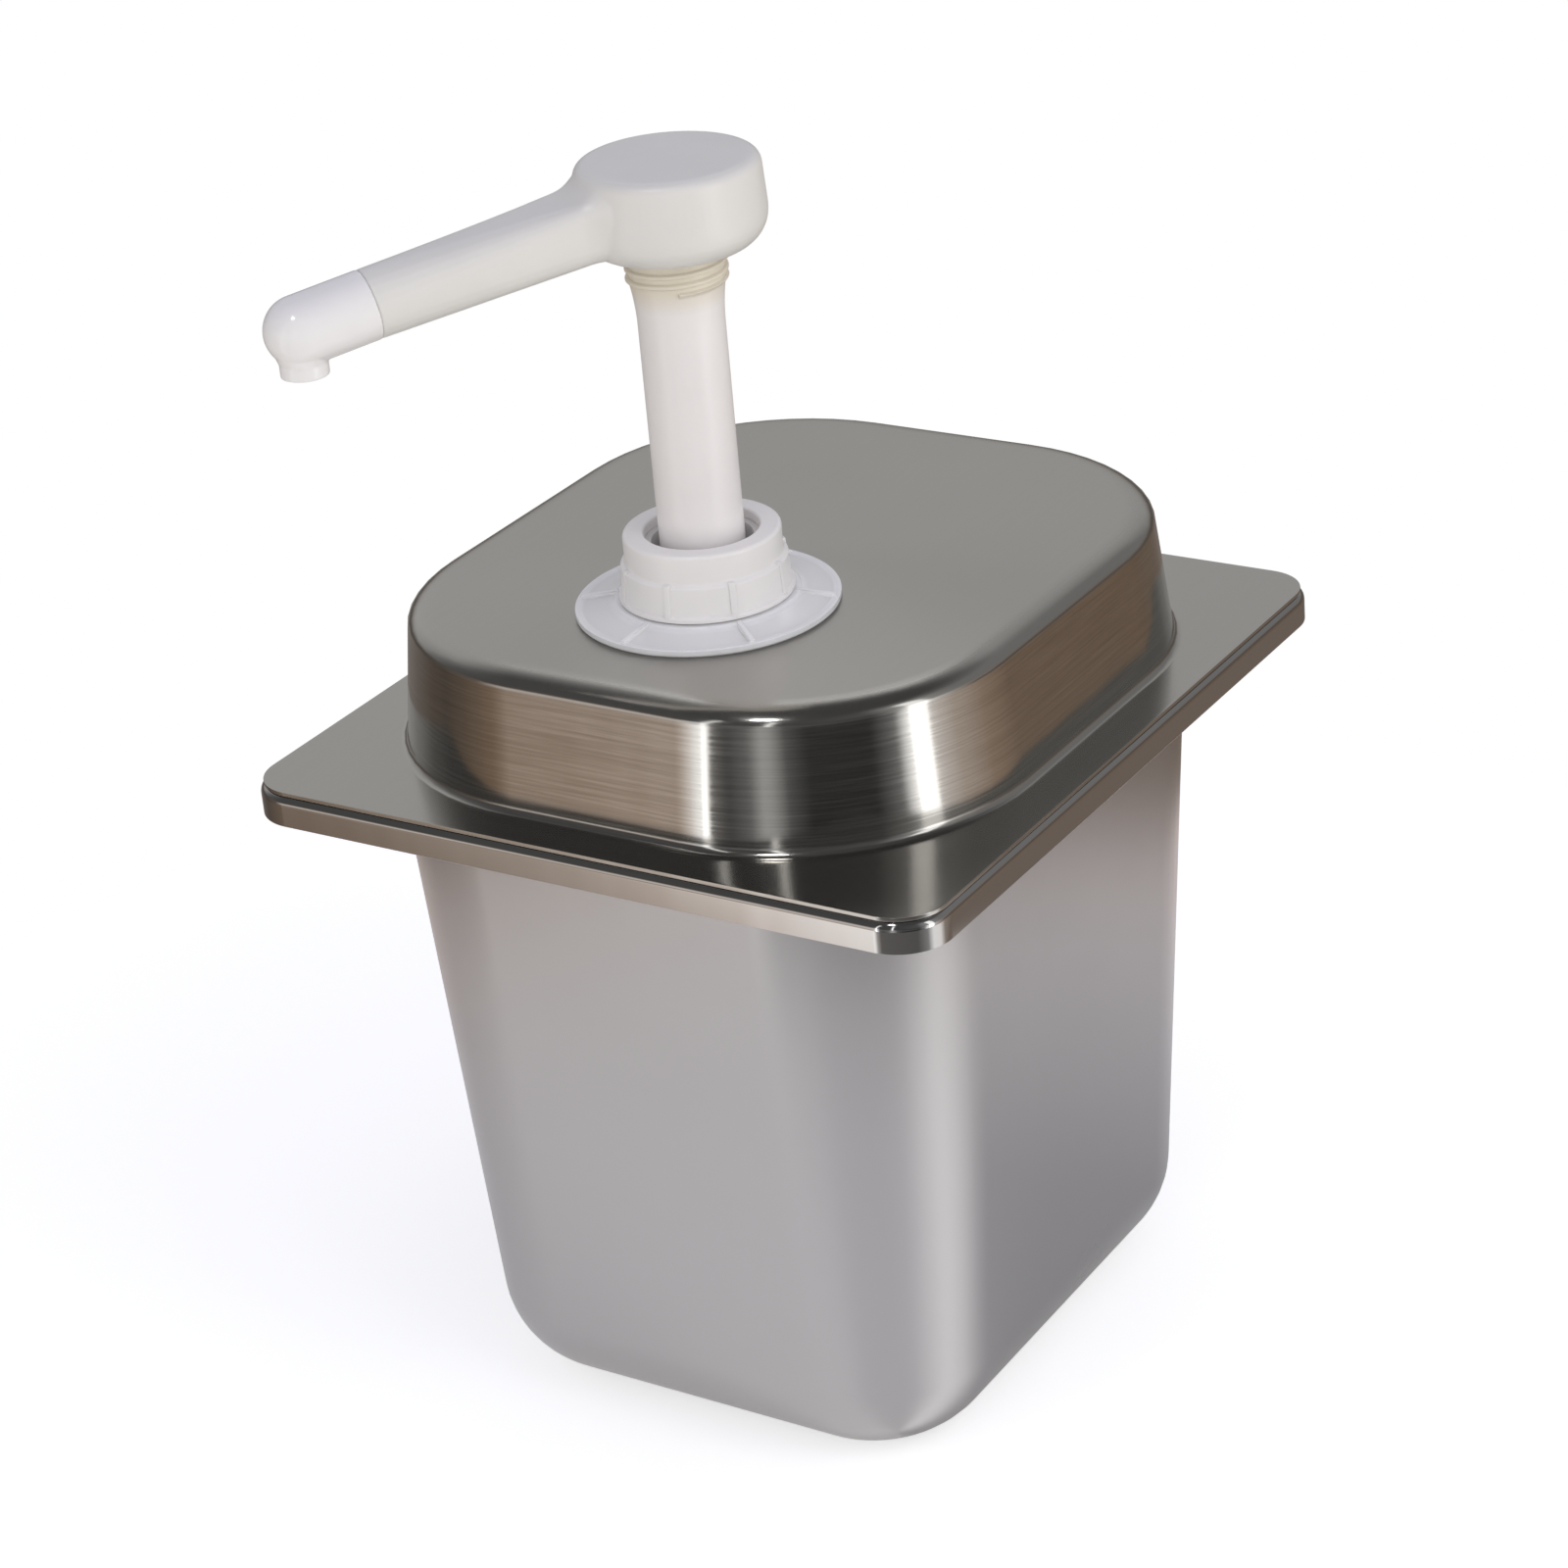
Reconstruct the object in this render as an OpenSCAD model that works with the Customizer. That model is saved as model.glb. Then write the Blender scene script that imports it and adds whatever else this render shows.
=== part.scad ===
// Syrup pump dispenser: a deep steel food pan with a domed lid and a lock-down pump
// that stands in the lid. Millimetres, +Z up. The origin is the middle of the pan's base,
// X runs across the pan's short side and Y along its long side. The pump stands towards -Y.

/* [Pan] */
// Width of the pan over its rim, across X
pan_w = 162; // [150:1:176]
// Length of the pan over its rim, along Y
pan_l = 176; // [164:1:190]
// Height of the pan, base to rim
pan_h = 151; // [130:1:180]
// Thickness of the pan's sheet
pan_sheet = 0.8; // [0.6:0.1:1.0]
// Width of the rim, from its edge to the wall
rim_w = 13; // [11:0.5:15]
// Depth of the turned-down edge of the rim
rim_drop = 6.8; // [5:0.2:9]
// Outer bend radius of the turned-down edge
rim_edge_r = 2; // [1.4:0.1:2.6]
// Corner radius of the rim, seen from above
rim_corner_r = 11; // [8:0.5:14]
// Bend radius between the rim and the wall
rim_bend_r = 3; // [2:0.5:5]
// How far the wall leans in from the rim to the floor, on each side
wall_draft = 8.4; // [6:0.2:10]
// Corner radius of the wall at the rim
wall_corner_r = 36; // [32:1:40]
// Corner radius of the wall at the floor
foot_corner_r = 28; // [25:1:31]
// Bend radius between the wall and the floor
floor_r = 22; // [18:1:24]

/* [Lid] */
// Thickness of the lid's sheet
lid_sheet = 0.8; // [0.7:0.1:1]
// How far the lid's edge lies inside the edge of the pan's rim
lid_inset = 0.8; // [0.4:0.1:1.5]
// Height of the dome over the lid's flange
dome_h = 29.4; // [24:0.2:40]
// Distance from the edge of the rim to the foot of the dome
dome_inset = 11.2; // [10:0.1:15]
// How far the dome's wall leans in, on each side
dome_draft = 2.6; // [0.8:0.1:4]
// Corner radius of the dome, seen from above
dome_corner_r = 50; // [40:1:56]
// Width of the soft bend between the dome's wall and its top
dome_edge_w = 6.5; // [3:0.1:9]
// Height of that bend
dome_edge_h = 3.5; // [2:0.1:5]
// Bend radius between the dome's wall and the flange
dome_foot_r = 3.5; // [1.2:0.1:5]
// Small radius on the flange's cut edge
lid_edge_r = 0.3; // [0.1:0.1:0.3]

/* [Mounting plate] */
// Place of the pump's axis along Y
pump_y = -29.4; // [-34:0.1:10]
// Diameter of the plate
plate_d = 54.4; // [50:0.2:58]
// Thickness of the plate at its edge
plate_edge_t = 1.6; // [1.4:0.1:2]
// Thickness of the plate at its hub
plate_hub_t = 3; // [2.8:0.1:5]
// Diameter of the hub
plate_hub_d = 39; // [38:0.2:41]
// Number of radial ribs on the plate
plate_rib_n = 6; // [4:1:8]
// Width of a radial rib
plate_rib_w = 1.3; // [0.8:0.1:2]
// Diameter of the threaded neck over the plate
neck_d = 28.8; // [28.4:0.1:29.2]
// Height of the threaded neck
neck_h = 8.8; // [7:0.1:11]
// Diameter of the threaded spigot through the lid
spigot_d = 31; // [30:0.1:32]
// Length of the spigot below the plate
spigot_l = 14; // [13:0.5:18]

/* [Clamping pieces] */
// Thickness of the sealing washer under the lid
gasket_t = 1.5; // [1:0.1:2]
// Outer diameter of the sealing washer
gasket_d = 41; // [38:0.5:43]
// Size of the hexagonal nut across its flats
nut_af = 44; // [40:1:48]
// Height of the nut
nut_h = 8; // [6:0.5:10]
// Thickness of the washer on the neck
neck_gasket_t = 1; // [0.6:0.1:1.5]

/* [Collar] */
// Diameter of the collar's plain upper ring
collar_d = 32.3; // [32:0.1:33.4]
// Diameter of the collar's skirt at its foot
skirt_d = 34.8; // [34.2:0.1:35.6]
// Diameter of the collar's foot ring
collar_foot_d = 36; // [35.8:0.1:37]
// Height of the skirt with the grip ribs
skirt_h = 7.4; // [6:0.1:9]
// Bore of the collar around the stem
collar_bore_d = 23.6; // [23:0.1:25]
// Thickness of the collar's top wall
collar_top_t = 2.2; // [1:0.1:2.6]
// Number of grip ribs
grip_n = 8; // [6:1:16]
// Width of a grip rib
grip_w = 1.4; // [1:0.1:2.4]

/* [Pump cylinder] */
// Inner diameter of the cylinder
cyl_bore_d = 23; // [22.6:0.1:23.2]
// Outer diameter of the cylinder
cyl_d = 25.5; // [25.2:0.1:25.6]
// Length of the cylinder from its flange to its floor
cyl_l = 118; // [112:1:124]
// Thickness of the cylinder's flange
cyl_flange_t = 1.2; // [0.8:0.1:2]
// Diameter of the inlet ball
inlet_ball_d = 8; // [7:0.2:9]
// Diameter of the hole under the inlet ball
inlet_hole_d = 5.2; // [4:0.2:5.6]
// Lift of the inlet ball
inlet_lift = 3; // [2:0.2:5]
// Outer diameter of the dip tube
dip_d = 8; // [7:0.2:9]
// Wall of the dip tube
dip_wall = 1.2; // [0.8:0.1:1.6]
// Depth of the dip tube's socket
dip_socket_l = 8; // [6:0.5:12]
// Gap between the dip tube's tip and the pan's floor
dip_floor_gap = 5; // [3:0.5:10]
// Slant of the dip tube's cut end
dip_cut = 40; // [20:5:50]

/* [Stem and guide] */
// Diameter of the stem
stem_d = 17.4; // [17:0.1:18]
// Bore of the stem
stem_bore_d = 9.2; // [8.8:0.1:10]
// Stroke of the pump
stroke = 58.2; // [40:0.2:58.2]
// Height of the head's underside over the collar when the pump is up
head_rise = 58.6; // [58.6:0.1:66]
// Diameter of the lock-down thread under the head
lock_d = 20.6; // [20:0.1:20.8]
// Length of the lock-down thread
lock_l = 5.6; // [5:0.2:8]
// Length of the flare between the thread and the stem
flare_l = 9.4; // [7:0.2:10]
// Thickness of the guide's flange
guide_flange_t = 0.8; // [0.6:0.1:1.2]
// Length of the guide's close bore
guide_bore_l = 6; // [4:0.5:8]
// Height of the ring that wipes the stem
stem_seal_h = 3; // [2:0.2:4]

/* [Piston] */
// Length of the piston
piston_l = 12.5; // [12:0.5:16]
// Height of the groove for the piston ring
ring_groove_h = 4; // [3:0.2:4.4]
// Depth of the groove for the piston ring
ring_groove_depth = 2.4; // [1.8:0.1:2.6]
// Diameter of the stem's lower spigot
stem_foot_d = 14; // [13.4:0.1:14.4]
// Depth of the stem's spigot in the piston
stem_foot_l = 8; // [6:0.2:9]
// Diameter of the outlet ball
outlet_ball_d = 7.2; // [6.6:0.2:7.4]
// Diameter of the hole under the outlet ball
outlet_hole_d = 4.8; // [4:0.2:5]
// Lift of the outlet ball
outlet_lift = 2; // [1.5:0.1:3]

/* [Return spring] */
// Wire of the spring
spring_wire = 1.2; // [1:0.1:1.4]
// Mean diameter of the spring
spring_d = 17.4; // [16.8:0.1:18]
// Number of turns
spring_turns = 12; // [10:0.5:14]
// Thickness of the spring's seat
seat_t = 2.4; // [2:0.1:3]

/* [Head] */
// Largest diameter of the head
head_d = 38; // [37.4:0.2:42]
// Diameter of the head's wall just under its top
head_top_d = 37; // [35:0.2:37.4]
// Height of the head
head_h = 18.8; // [18:0.2:24]
// Radius of the head's top edge
head_edge_r = 2.4; // [1.5:0.1:3]
// Radius of the head's rounded underside
head_belly_r = 7; // [5:0.1:7.5]
// Depth of the stem's socket in the head
head_socket_l = 10; // [8:0.5:11]
// Diameter of the stem's upper spigot
stem_top_d = 14; // [13:0.1:15]

/* [Spout] */
// Direction of the spout, seen from above
spout_azimuth = 235; // [180:1:290]
// How much the spout falls towards its tip, in degrees
spout_droop = 9; // [4:0.5:14]
// Height of the spout's middle over the head's underside, at the pump's axis
spout_rise = 12.2; // [12:0.1:13]
// Reach from the pump's axis to the mouth
spout_reach = 77.2; // [70:0.2:95]
// Diameter of the spout at its tip
spout_tip_d = 14; // [13.8:0.1:14.6]
// Width of the spout where it leaves the head
spout_root_w = 15.8; // [14.6:0.1:18]
// Height of the spout's top over its middle, where it leaves the head
spout_root_up = 5.8; // [5.4:0.1:7]
// Depth of the spout's underside below its middle, where it leaves the head
spout_root_down = 7.5; // [7:0.1:8]
// Radius of the upper edges of the spout at the head
spout_root_edge_r = 3; // [2:0.1:5]
// Radius between the spout's sides and the head
spout_fillet_r = 7; // [4:0.5:8]
// Radius between the spout's top and the head
spout_ramp_r = 6.5; // [5:0.5:8]
// Diameter of the passage in the spout
spout_bore_d = 7.6; // [6:0.1:8]
// Length of the push-on tip, from its seam to the mouth's axis
tip_l = 14.4; // [13:0.2:18]
// Diameter of the spigot that the tip is pushed on
tip_spigot_d = 11.2; // [10.8:0.1:11.6]
// Length of that spigot
tip_spigot_l = 6.6; // [5:0.2:7]
// Outer diameter of the mouth
mouth_d = 9.5; // [9:0.1:10.5]
// Bore of the mouth
mouth_bore_d = 6.8; // [6:0.1:7.4]
// Depth of the mouth below the middle of the tip
mouth_drop = 8.8; // [8.4:0.1:11]

/* [Clearances] */
// Radial gap between a moving shaft and its bore
run_gap = 0.06; // [0.04:0.01:0.09]
// Radial gap between screwed or pushed pieces
fit_gap = 0.1; // [0.05:0.01:0.15]
// Gap between faces that must not touch
face_gap = 0.3; // [0.2:0.05:0.5]

/* [Hidden] */
$fn = 96;
steel = "silver";
white = "whitesmoke";
clear = "lightgray";
rubber = "dimgray";

// Steps in a quarter circle of the drawn sheet's corners, and in its bends
corner_steps = 10;
bend_steps = 4;
floor_steps = 6;

// Heights up the object
flange_top = pan_h + lid_sheet;
dome_top = flange_top + dome_h;
hub_top = dome_top + plate_hub_t;
neck_top = hub_top + neck_h;
cyl_flange_z = neck_top + neck_gasket_t;
cyl_top = cyl_flange_z + cyl_flange_t;
guide_top = cyl_top + guide_flange_t;
collar_z = hub_top + face_gap;
collar_top = guide_top + collar_top_t;
head_z = collar_top + head_rise;
gasket_z = dome_top - lid_sheet - gasket_t;
nut_z = gasket_z - nut_h;

// The guide's counterbore takes the thread and the flare when the pump is locked down
lock_down_z = head_z - stroke - lock_l;
counterbore_z = lock_down_z - 2 * face_gap;
guide_cone_z = lock_down_z - flare_l - 4 * face_gap;
guide_z = guide_cone_z - guide_bore_l;
seal_z = guide_z - stem_seal_h;

// Piston, its spigot and its valve seat
piston_top = seal_z - 2 * face_gap;
piston_z = piston_top - piston_l;
socket_floor_z = piston_top - stem_foot_l;
foot_bore_d = stem_bore_d;
outlet_seat_d = foot_bore_d + 2 * face_gap;
outlet_seat_z = socket_floor_z - (outlet_seat_d - outlet_hole_d) / 2;
// A ball on a 45 degree seat stands this far over the tip of the seat's cone
outlet_ball_z = socket_floor_z - outlet_seat_d / 2 + (outlet_ball_d / 2 + fit_gap) * sqrt(2);
outlet_stop_z = outlet_ball_z + outlet_ball_d / 2 + outlet_lift + face_gap;
stem_z = piston_top + face_gap;

// Floor of the cylinder and the inlet valve below it
cyl_floor_z = cyl_flange_z - cyl_l;
chamber_d = inlet_ball_d + 2.6;
inlet_ball_z = cyl_floor_z - face_gap - inlet_lift - inlet_ball_d / 2;
inlet_cone_z = inlet_ball_z - (inlet_ball_d / 2 + fit_gap) * sqrt(2);
inlet_seat_z = inlet_cone_z + inlet_hole_d / 2;
inlet_seat_top = inlet_cone_z + chamber_d / 2;
socket_top_z = inlet_seat_z - 2;
housing_z = socket_top_z - dip_socket_l;
foot_d = dip_d + 6.4;
spring_z = cyl_floor_z + seat_t;

// The spout's own frame starts on the pump's axis and falls along its X
spout_z = head_z + spout_rise;
spout_end = spout_reach / cos(spout_droop);
seam_x = spout_end - tip_l;
mouth_z = spout_z - spout_reach * tan(spout_droop);

// One ring of points: a rectangle with rounded corners, at a height
function round_rect(hx, hy, r, z) = [
    for (q = [0:3], k = [0:corner_steps])
        let (a = 90 * (q + k / corner_steps),
             sx = (q == 0 || q == 3) ? 1 : -1,
             sy = (q < 2) ? 1 : -1)
        [sx * (hx - r) + r * cos(a), sy * (hy - r) + r * sin(a), z]
];

// A ring of the drawn sheet, given by its inset from the rim's edge
function sheet_ring(p) = round_rect(pan_w / 2 - p[0], pan_l / 2 - p[0], p[2], p[1]);

// Points of a bend of width w and height h, as [inset, height, corner radius], where the
// corner radius shrinks by as much as the inset grows
function bend(cx, cz, w, h, a0, a1, steps, corner) = [
    for (k = [0:steps])
        let (a = a0 + (a1 - a0) * k / steps, x = cx + w * cos(a))
        [x, cz + h * sin(a), corner - x]
];

// Points of an arc of a turned profile
function arc(cx, cz, r, a0, a1, steps) = [
    for (k = [0:steps])
        let (a = a0 + (a1 - a0) * k / steps)
        [cx + r * cos(a), cz + r * sin(a)]
];

// Solid through a list of rings, closed by a face at each end
module loft(rings) {
    n = len(rings[0]);
    last = (len(rings) - 1) * n;
    sides = [
        for (i = [0:len(rings) - 2], j = [0:n - 1])
            let (a = i * n + j, b = i * n + (j + 1) % n)
            each [[a, a + n, b + n], [a, b + n, b]]
    ];
    low = [for (j = [0:n - 1]) j];
    high = [for (j = [0:n - 1]) last + n - 1 - j];
    polyhedron(points = [for (ring = rings) each ring], faces = concat([low], sides, [high]));
}

// Places a piece on the pump's axis
module on_pump(z = 0) translate([0, pump_y, z]) children();

// Places a piece in the spout's frame
module along_spout() on_pump(spout_z) rotate([0, spout_droop, spout_azimuth]) children();

// Turned ring
module tube(d, bore, h) {
    difference() {
        cylinder(d = d, h = h);
        translate([0, 0, -1]) cylinder(d = bore, h = h + 2);
    }
}

// Deep-drawn pan: floor, leaning walls and a rim with its edge turned down
module pan() {
    foot_inset = rim_w + wall_draft;
    bend_x = rim_w - rim_bend_r;
    bend_z = pan_h - pan_sheet - rim_bend_r;
    edge_z = pan_h - rim_edge_r;
    foot_corner = foot_corner_r + foot_inset;
    wall_corner = wall_corner_r + rim_w;
    edge_corner = rim_corner_r;
    inner_floor_r = floor_r - pan_sheet;
    inner_edge_r = rim_edge_r - pan_sheet;
    land_r = rim_bend_r + pan_sheet;
    floor_x = foot_inset + floor_r;
    edge_low = pan_h - rim_drop;
    outside = concat(
        bend(floor_x, floor_r, floor_r, floor_r, 270, 180, floor_steps, foot_corner),
        bend(bend_x, bend_z, rim_bend_r, rim_bend_r, 0, 90, bend_steps, wall_corner)
    );
    edge = concat(
        bend(rim_edge_r, edge_z, inner_edge_r, inner_edge_r, 90, 180, bend_steps, edge_corner),
        [[pan_sheet, edge_low, edge_corner - pan_sheet], [0, edge_low, edge_corner]],
        bend(rim_edge_r, edge_z, rim_edge_r, rim_edge_r, 180, 90, bend_steps, edge_corner)
    );
    inside = concat(
        bend(bend_x, bend_z, land_r, land_r, 90, 0, bend_steps, wall_corner),
        bend(floor_x, floor_r, inner_floor_r, inner_floor_r, 180, 270, floor_steps, foot_corner)
    );
    color(steel) loft([for (p = concat(outside, edge, inside)) sheet_ring(p)]);
}

// Drawn lid: flat flange on the pan's rim, a low wall and a flat top with the pump's hole
module lid() {
    top_x = dome_inset + dome_draft + dome_edge_w;
    top_z = dome_top - dome_edge_h;
    foot_x = dome_inset - dome_foot_r;
    foot_z = flange_top + dome_foot_r;
    inner_w = dome_edge_w - lid_sheet;
    inner_h = dome_edge_h - lid_sheet;
    outer_foot_r = dome_foot_r + lid_sheet;
    edge_x = lid_inset + lid_edge_r;
    edge_z = flange_top - lid_edge_r;
    corner = dome_corner_r + dome_inset;
    inside = concat(
        bend(top_x, top_z, inner_w, inner_h, 90, 180, bend_steps, corner),
        bend(foot_x, foot_z, outer_foot_r, outer_foot_r, 0, -90, bend_steps, corner)
    );
    edge = concat(
        [[lid_inset, pan_h, rim_corner_r - lid_inset]],
        bend(edge_x, edge_z, lid_edge_r, lid_edge_r, 180, 90, 2, rim_corner_r)
    );
    outside = concat(
        bend(foot_x, foot_z, dome_foot_r, dome_foot_r, -90, 0, bend_steps, corner),
        bend(top_x, top_z, dome_edge_w, dome_edge_h, 180, 90, bend_steps + 1, corner)
    );
    color(steel) difference() {
        loft([for (p = concat(inside, edge, outside)) sheet_ring(p)]);
        on_pump(dome_top - 2 * lid_sheet) cylinder(d = spigot_d + 2 * face_gap, h = 4 * lid_sheet);
    }
}

// Moulded disc on the lid: ribs, the neck for the collar and the spigot through the lid
module mounting_plate() {
    edge_r = plate_d / 2;
    hub_r = plate_hub_d / 2;
    lip = 1;
    edge_low = 0.9;
    rib_start = hub_r - lip;
    rib_end = edge_r - lip / 2;
    rib_step = 360 / plate_rib_n;
    color(clear, 0.7) on_pump(dome_top) difference() {
        union() {
            rotate_extrude() polygon([
                [0, 0], [edge_r - 2.5, 0], [edge_r, edge_low], [edge_r, plate_edge_t],
                [edge_r - lip, plate_edge_t], [edge_r - 2 * lip, plate_edge_t - face_gap],
                [hub_r, plate_hub_t - 2 * face_gap], [hub_r - 2 * face_gap, plate_hub_t],
                [0, plate_hub_t]
            ]);
            for (k = [0:plate_rib_n - 1]) rotate([90, 0, 22 + k * rib_step])
                translate([0, 0, -plate_rib_w / 2]) linear_extrude(plate_rib_w) polygon([
                    [rib_start, edge_low], [rib_end, edge_low],
                    [rib_end, plate_edge_t + face_gap], [rib_start, plate_hub_t]
                ]);
            cylinder(d = neck_d, h = plate_hub_t + neck_h);
            translate([0, 0, -spigot_l]) cylinder(d = spigot_d, h = spigot_l + 1);
        }
        translate([0, 0, -spigot_l - 1]) cylinder(d = cyl_d + 2 * fit_gap, h = spigot_l + neck_h + 8);
    }
}

// Flat sealing washer under the lid
module lid_gasket() {
    color(rubber) on_pump(gasket_z) tube(gasket_d, spigot_d + 2 * fit_gap, gasket_t);
}

// Hexagonal nut under the lid
module lid_nut() {
    color(white) on_pump(nut_z) difference() {
        cylinder(d = nut_af / cos(30), h = nut_h, $fn = 6);
        translate([0, 0, -1]) cylinder(d = spigot_d + 2 * fit_gap, h = nut_h + 2);
    }
}

// Screw collar: plain upper ring, skirt with grip ribs and a foot ring
module collar() {
    h = collar_top - collar_z;
    thread_r = neck_d / 2 + fit_gap;
    bore_r = collar_bore_d / 2;
    foot_r = collar_foot_d / 2;
    skirt_r = skirt_d / 2;
    ring_r = collar_d / 2;
    foot_t = 0.9;
    edge_r = 0.8;
    lean = 0.3;
    color(white) on_pump(collar_z) {
        rotate_extrude() polygon(concat(
            [[thread_r, 0], [foot_r, 0], [foot_r, foot_t], [skirt_r, foot_t + lean]],
            [[skirt_r - lean, skirt_h - lean], [ring_r, skirt_h + lean]],
            arc(ring_r - edge_r, h - edge_r, edge_r, 0, 90, 4),
            [[bore_r + lean, h], [bore_r, h - lean], [bore_r, h - collar_top_t]],
            [[thread_r, h - collar_top_t]]
        ));
        for (k = [0:grip_n - 1]) rotate([90, 0, 6 + k * 360 / grip_n])
            translate([0, 0, -grip_w / 2]) linear_extrude(grip_w) polygon([
                [thread_r + lean, foot_t / 2], [foot_r, foot_t / 2], [foot_r - lean, skirt_h - lean],
                [skirt_r - 2 * lean, skirt_h + lean], [thread_r + lean, skirt_h + lean]
            ]);
    }
}

// Flat washer between the neck and the cylinder's flange
module neck_gasket() {
    color(rubber) on_pump(neck_top) tube(neck_d, cyl_d + 2 * fit_gap, neck_gasket_t);
}

// Pump cylinder: flange, barrel, inlet chamber, ball seat and the dip tube's socket
module housing() {
    r = cyl_d / 2;
    bore_r = cyl_bore_d / 2;
    flange_r = neck_d / 2;
    foot_r = foot_d / 2;
    hole_r = inlet_hole_d / 2;
    socket_r = dip_d / 2 + run_gap;
    color(white) on_pump() rotate_extrude() polygon([
        [r, cyl_flange_z], [flange_r, cyl_flange_z], [flange_r, cyl_top], [bore_r, cyl_top],
        [bore_r, cyl_floor_z], [chamber_d / 2, cyl_floor_z], [chamber_d / 2, inlet_seat_top],
        [hole_r, inlet_seat_z], [hole_r, socket_top_z], [socket_r, socket_top_z],
        [socket_r, housing_z], [foot_r - 0.8, housing_z], [foot_r, housing_z + 0.8],
        [foot_r, cyl_floor_z - 6], [r, cyl_floor_z - 1.4]
    ]);
}

// Guide bush: close bore for the stem and a counterbore that takes the lock-down thread
module stem_guide() {
    flange_r = neck_d / 2;
    outer_r = cyl_bore_d / 2 - run_gap;
    lock_r = lock_d / 2 + fit_gap;
    bore_r = stem_d / 2 + run_gap;
    color(white) on_pump() rotate_extrude() polygon([
        [outer_r, guide_z], [outer_r, cyl_top], [flange_r, cyl_top], [flange_r, guide_top],
        [lock_r, guide_top], [lock_r, counterbore_z], [bore_r, guide_cone_z], [bore_r, guide_z]
    ]);
}

// Ring under the guide that wipes the stem
module stem_seal() {
    color(rubber) on_pump(seal_z)
        tube(cyl_bore_d - 2 * run_gap, stem_d + 2 * run_gap, stem_seal_h);
}

// Washer under the spring: its cross keeps the inlet ball in the chamber
module spring_seat() {
    outer = cyl_bore_d - 2 * fit_gap;
    opening = chamber_d + 1;
    boss_wall = 1;
    bar_w = 2;
    boss_h = 3;
    color(white) on_pump(cyl_floor_z) {
        tube(outer, opening, seat_t);
        tube(opening + 2 * boss_wall, opening, seat_t + boss_h);
        for (a = [0, 90]) rotate([0, 0, a]) translate([-opening / 2 - 0.4, -bar_w / 2, 0])
            cube([opening + 0.8, bar_w, seat_t]);
    }
}

// Compression spring: a wire that winds up from the seat to the piston, with a closed
// turn at each end
spring_sides = 6;
spring_step = 30;
spring_low = spring_z + spring_wire / 2 + run_gap;
spring_high = piston_z - spring_wire / 2 - run_gap;
end_pitch = spring_wire + 0.5;
open_pitch = (spring_high - spring_low - 2 * end_pitch) / (spring_turns - 2);
function spring_height(t) = t < 1 ? end_pitch * t
    : t < spring_turns - 1 ? end_pitch + open_pitch * (t - 1)
    : end_pitch + open_pitch * (spring_turns - 2) + end_pitch * (t - spring_turns + 1);
function spring_ring(t) = [
    for (k = [0:spring_sides - 1])
        let (a = 360 * k / spring_sides, r = spring_d / 2 + spring_wire / 2 * cos(a))
        [r * cos(360 * t), r * sin(360 * t), spring_height(t) + spring_wire / 2 * sin(a)]
];
echo(least_gap_in_spring = end_pitch - spring_wire);
module return_spring() {
    color("silver") on_pump(spring_low)
        loft([for (a = [0:spring_step:360 * spring_turns]) spring_ring(a / 360)]);
}

// Piston: two lips, the ring's groove, the stem's socket and the outlet ball's seat
module piston() {
    lip_r = cyl_bore_d / 2 - run_gap;
    waist_r = lip_r - 1;
    groove_r = lip_r - ring_groove_depth;
    groove_low = (piston_l - ring_groove_h) / 2;
    socket_r = stem_foot_d / 2 + run_gap;
    seat_r = outlet_seat_d / 2;
    hole_r = outlet_hole_d / 2;
    floor_h = socket_floor_z - piston_z;
    seat_h = outlet_seat_z - piston_z;
    lip_h = 1.2;
    color(white) on_pump(piston_z) rotate_extrude() polygon([
        [hole_r, 0], [waist_r - 1, 0], [waist_r, lip_h], [lip_r, lip_h], [lip_r, 2 * lip_h],
        [waist_r, groove_low - 0.6], [waist_r, groove_low], [groove_r, groove_low],
        [groove_r, groove_low + ring_groove_h], [waist_r, groove_low + ring_groove_h],
        [waist_r, groove_low + ring_groove_h + 0.6], [lip_r, piston_l - lip_h],
        [lip_r, piston_l], [socket_r, piston_l], [socket_r, floor_h], [seat_r, floor_h],
        [hole_r, seat_h]
    ]);
}

// Sealing ring in the piston's groove
module piston_ring() {
    lip_d = cyl_bore_d - 2 * run_gap;
    ring_h = ring_groove_h - 2 * fit_gap;
    color(rubber) on_pump(piston_z + (piston_l - ring_h) / 2)
        tube(lip_d, lip_d - 2 * ring_groove_depth, ring_h);
}

// Suction check ball on its seat
module inlet_ball() {
    color(steel) on_pump(inlet_ball_z) sphere(d = inlet_ball_d);
}

// Discharge check ball on its seat in the piston
module outlet_ball() {
    color(steel) on_pump(outlet_ball_z) sphere(d = outlet_ball_d);
}

// Cross-barred stop over the outlet ball, pressed into the stem
module outlet_ball_stop() {
    outer = foot_bore_d - 0.06;
    wall = 0.8;
    bar_w = 1.4;
    h = 2.6;
    color(white) on_pump(outlet_stop_z) {
        tube(outer, outer - 2 * wall, h);
        for (a = [0, 90]) rotate([0, 0, a])
            translate([-outer / 2 + wall / 2, -bar_w / 2, 0]) cube([outer - wall, bar_w, h]);
    }
}

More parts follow.
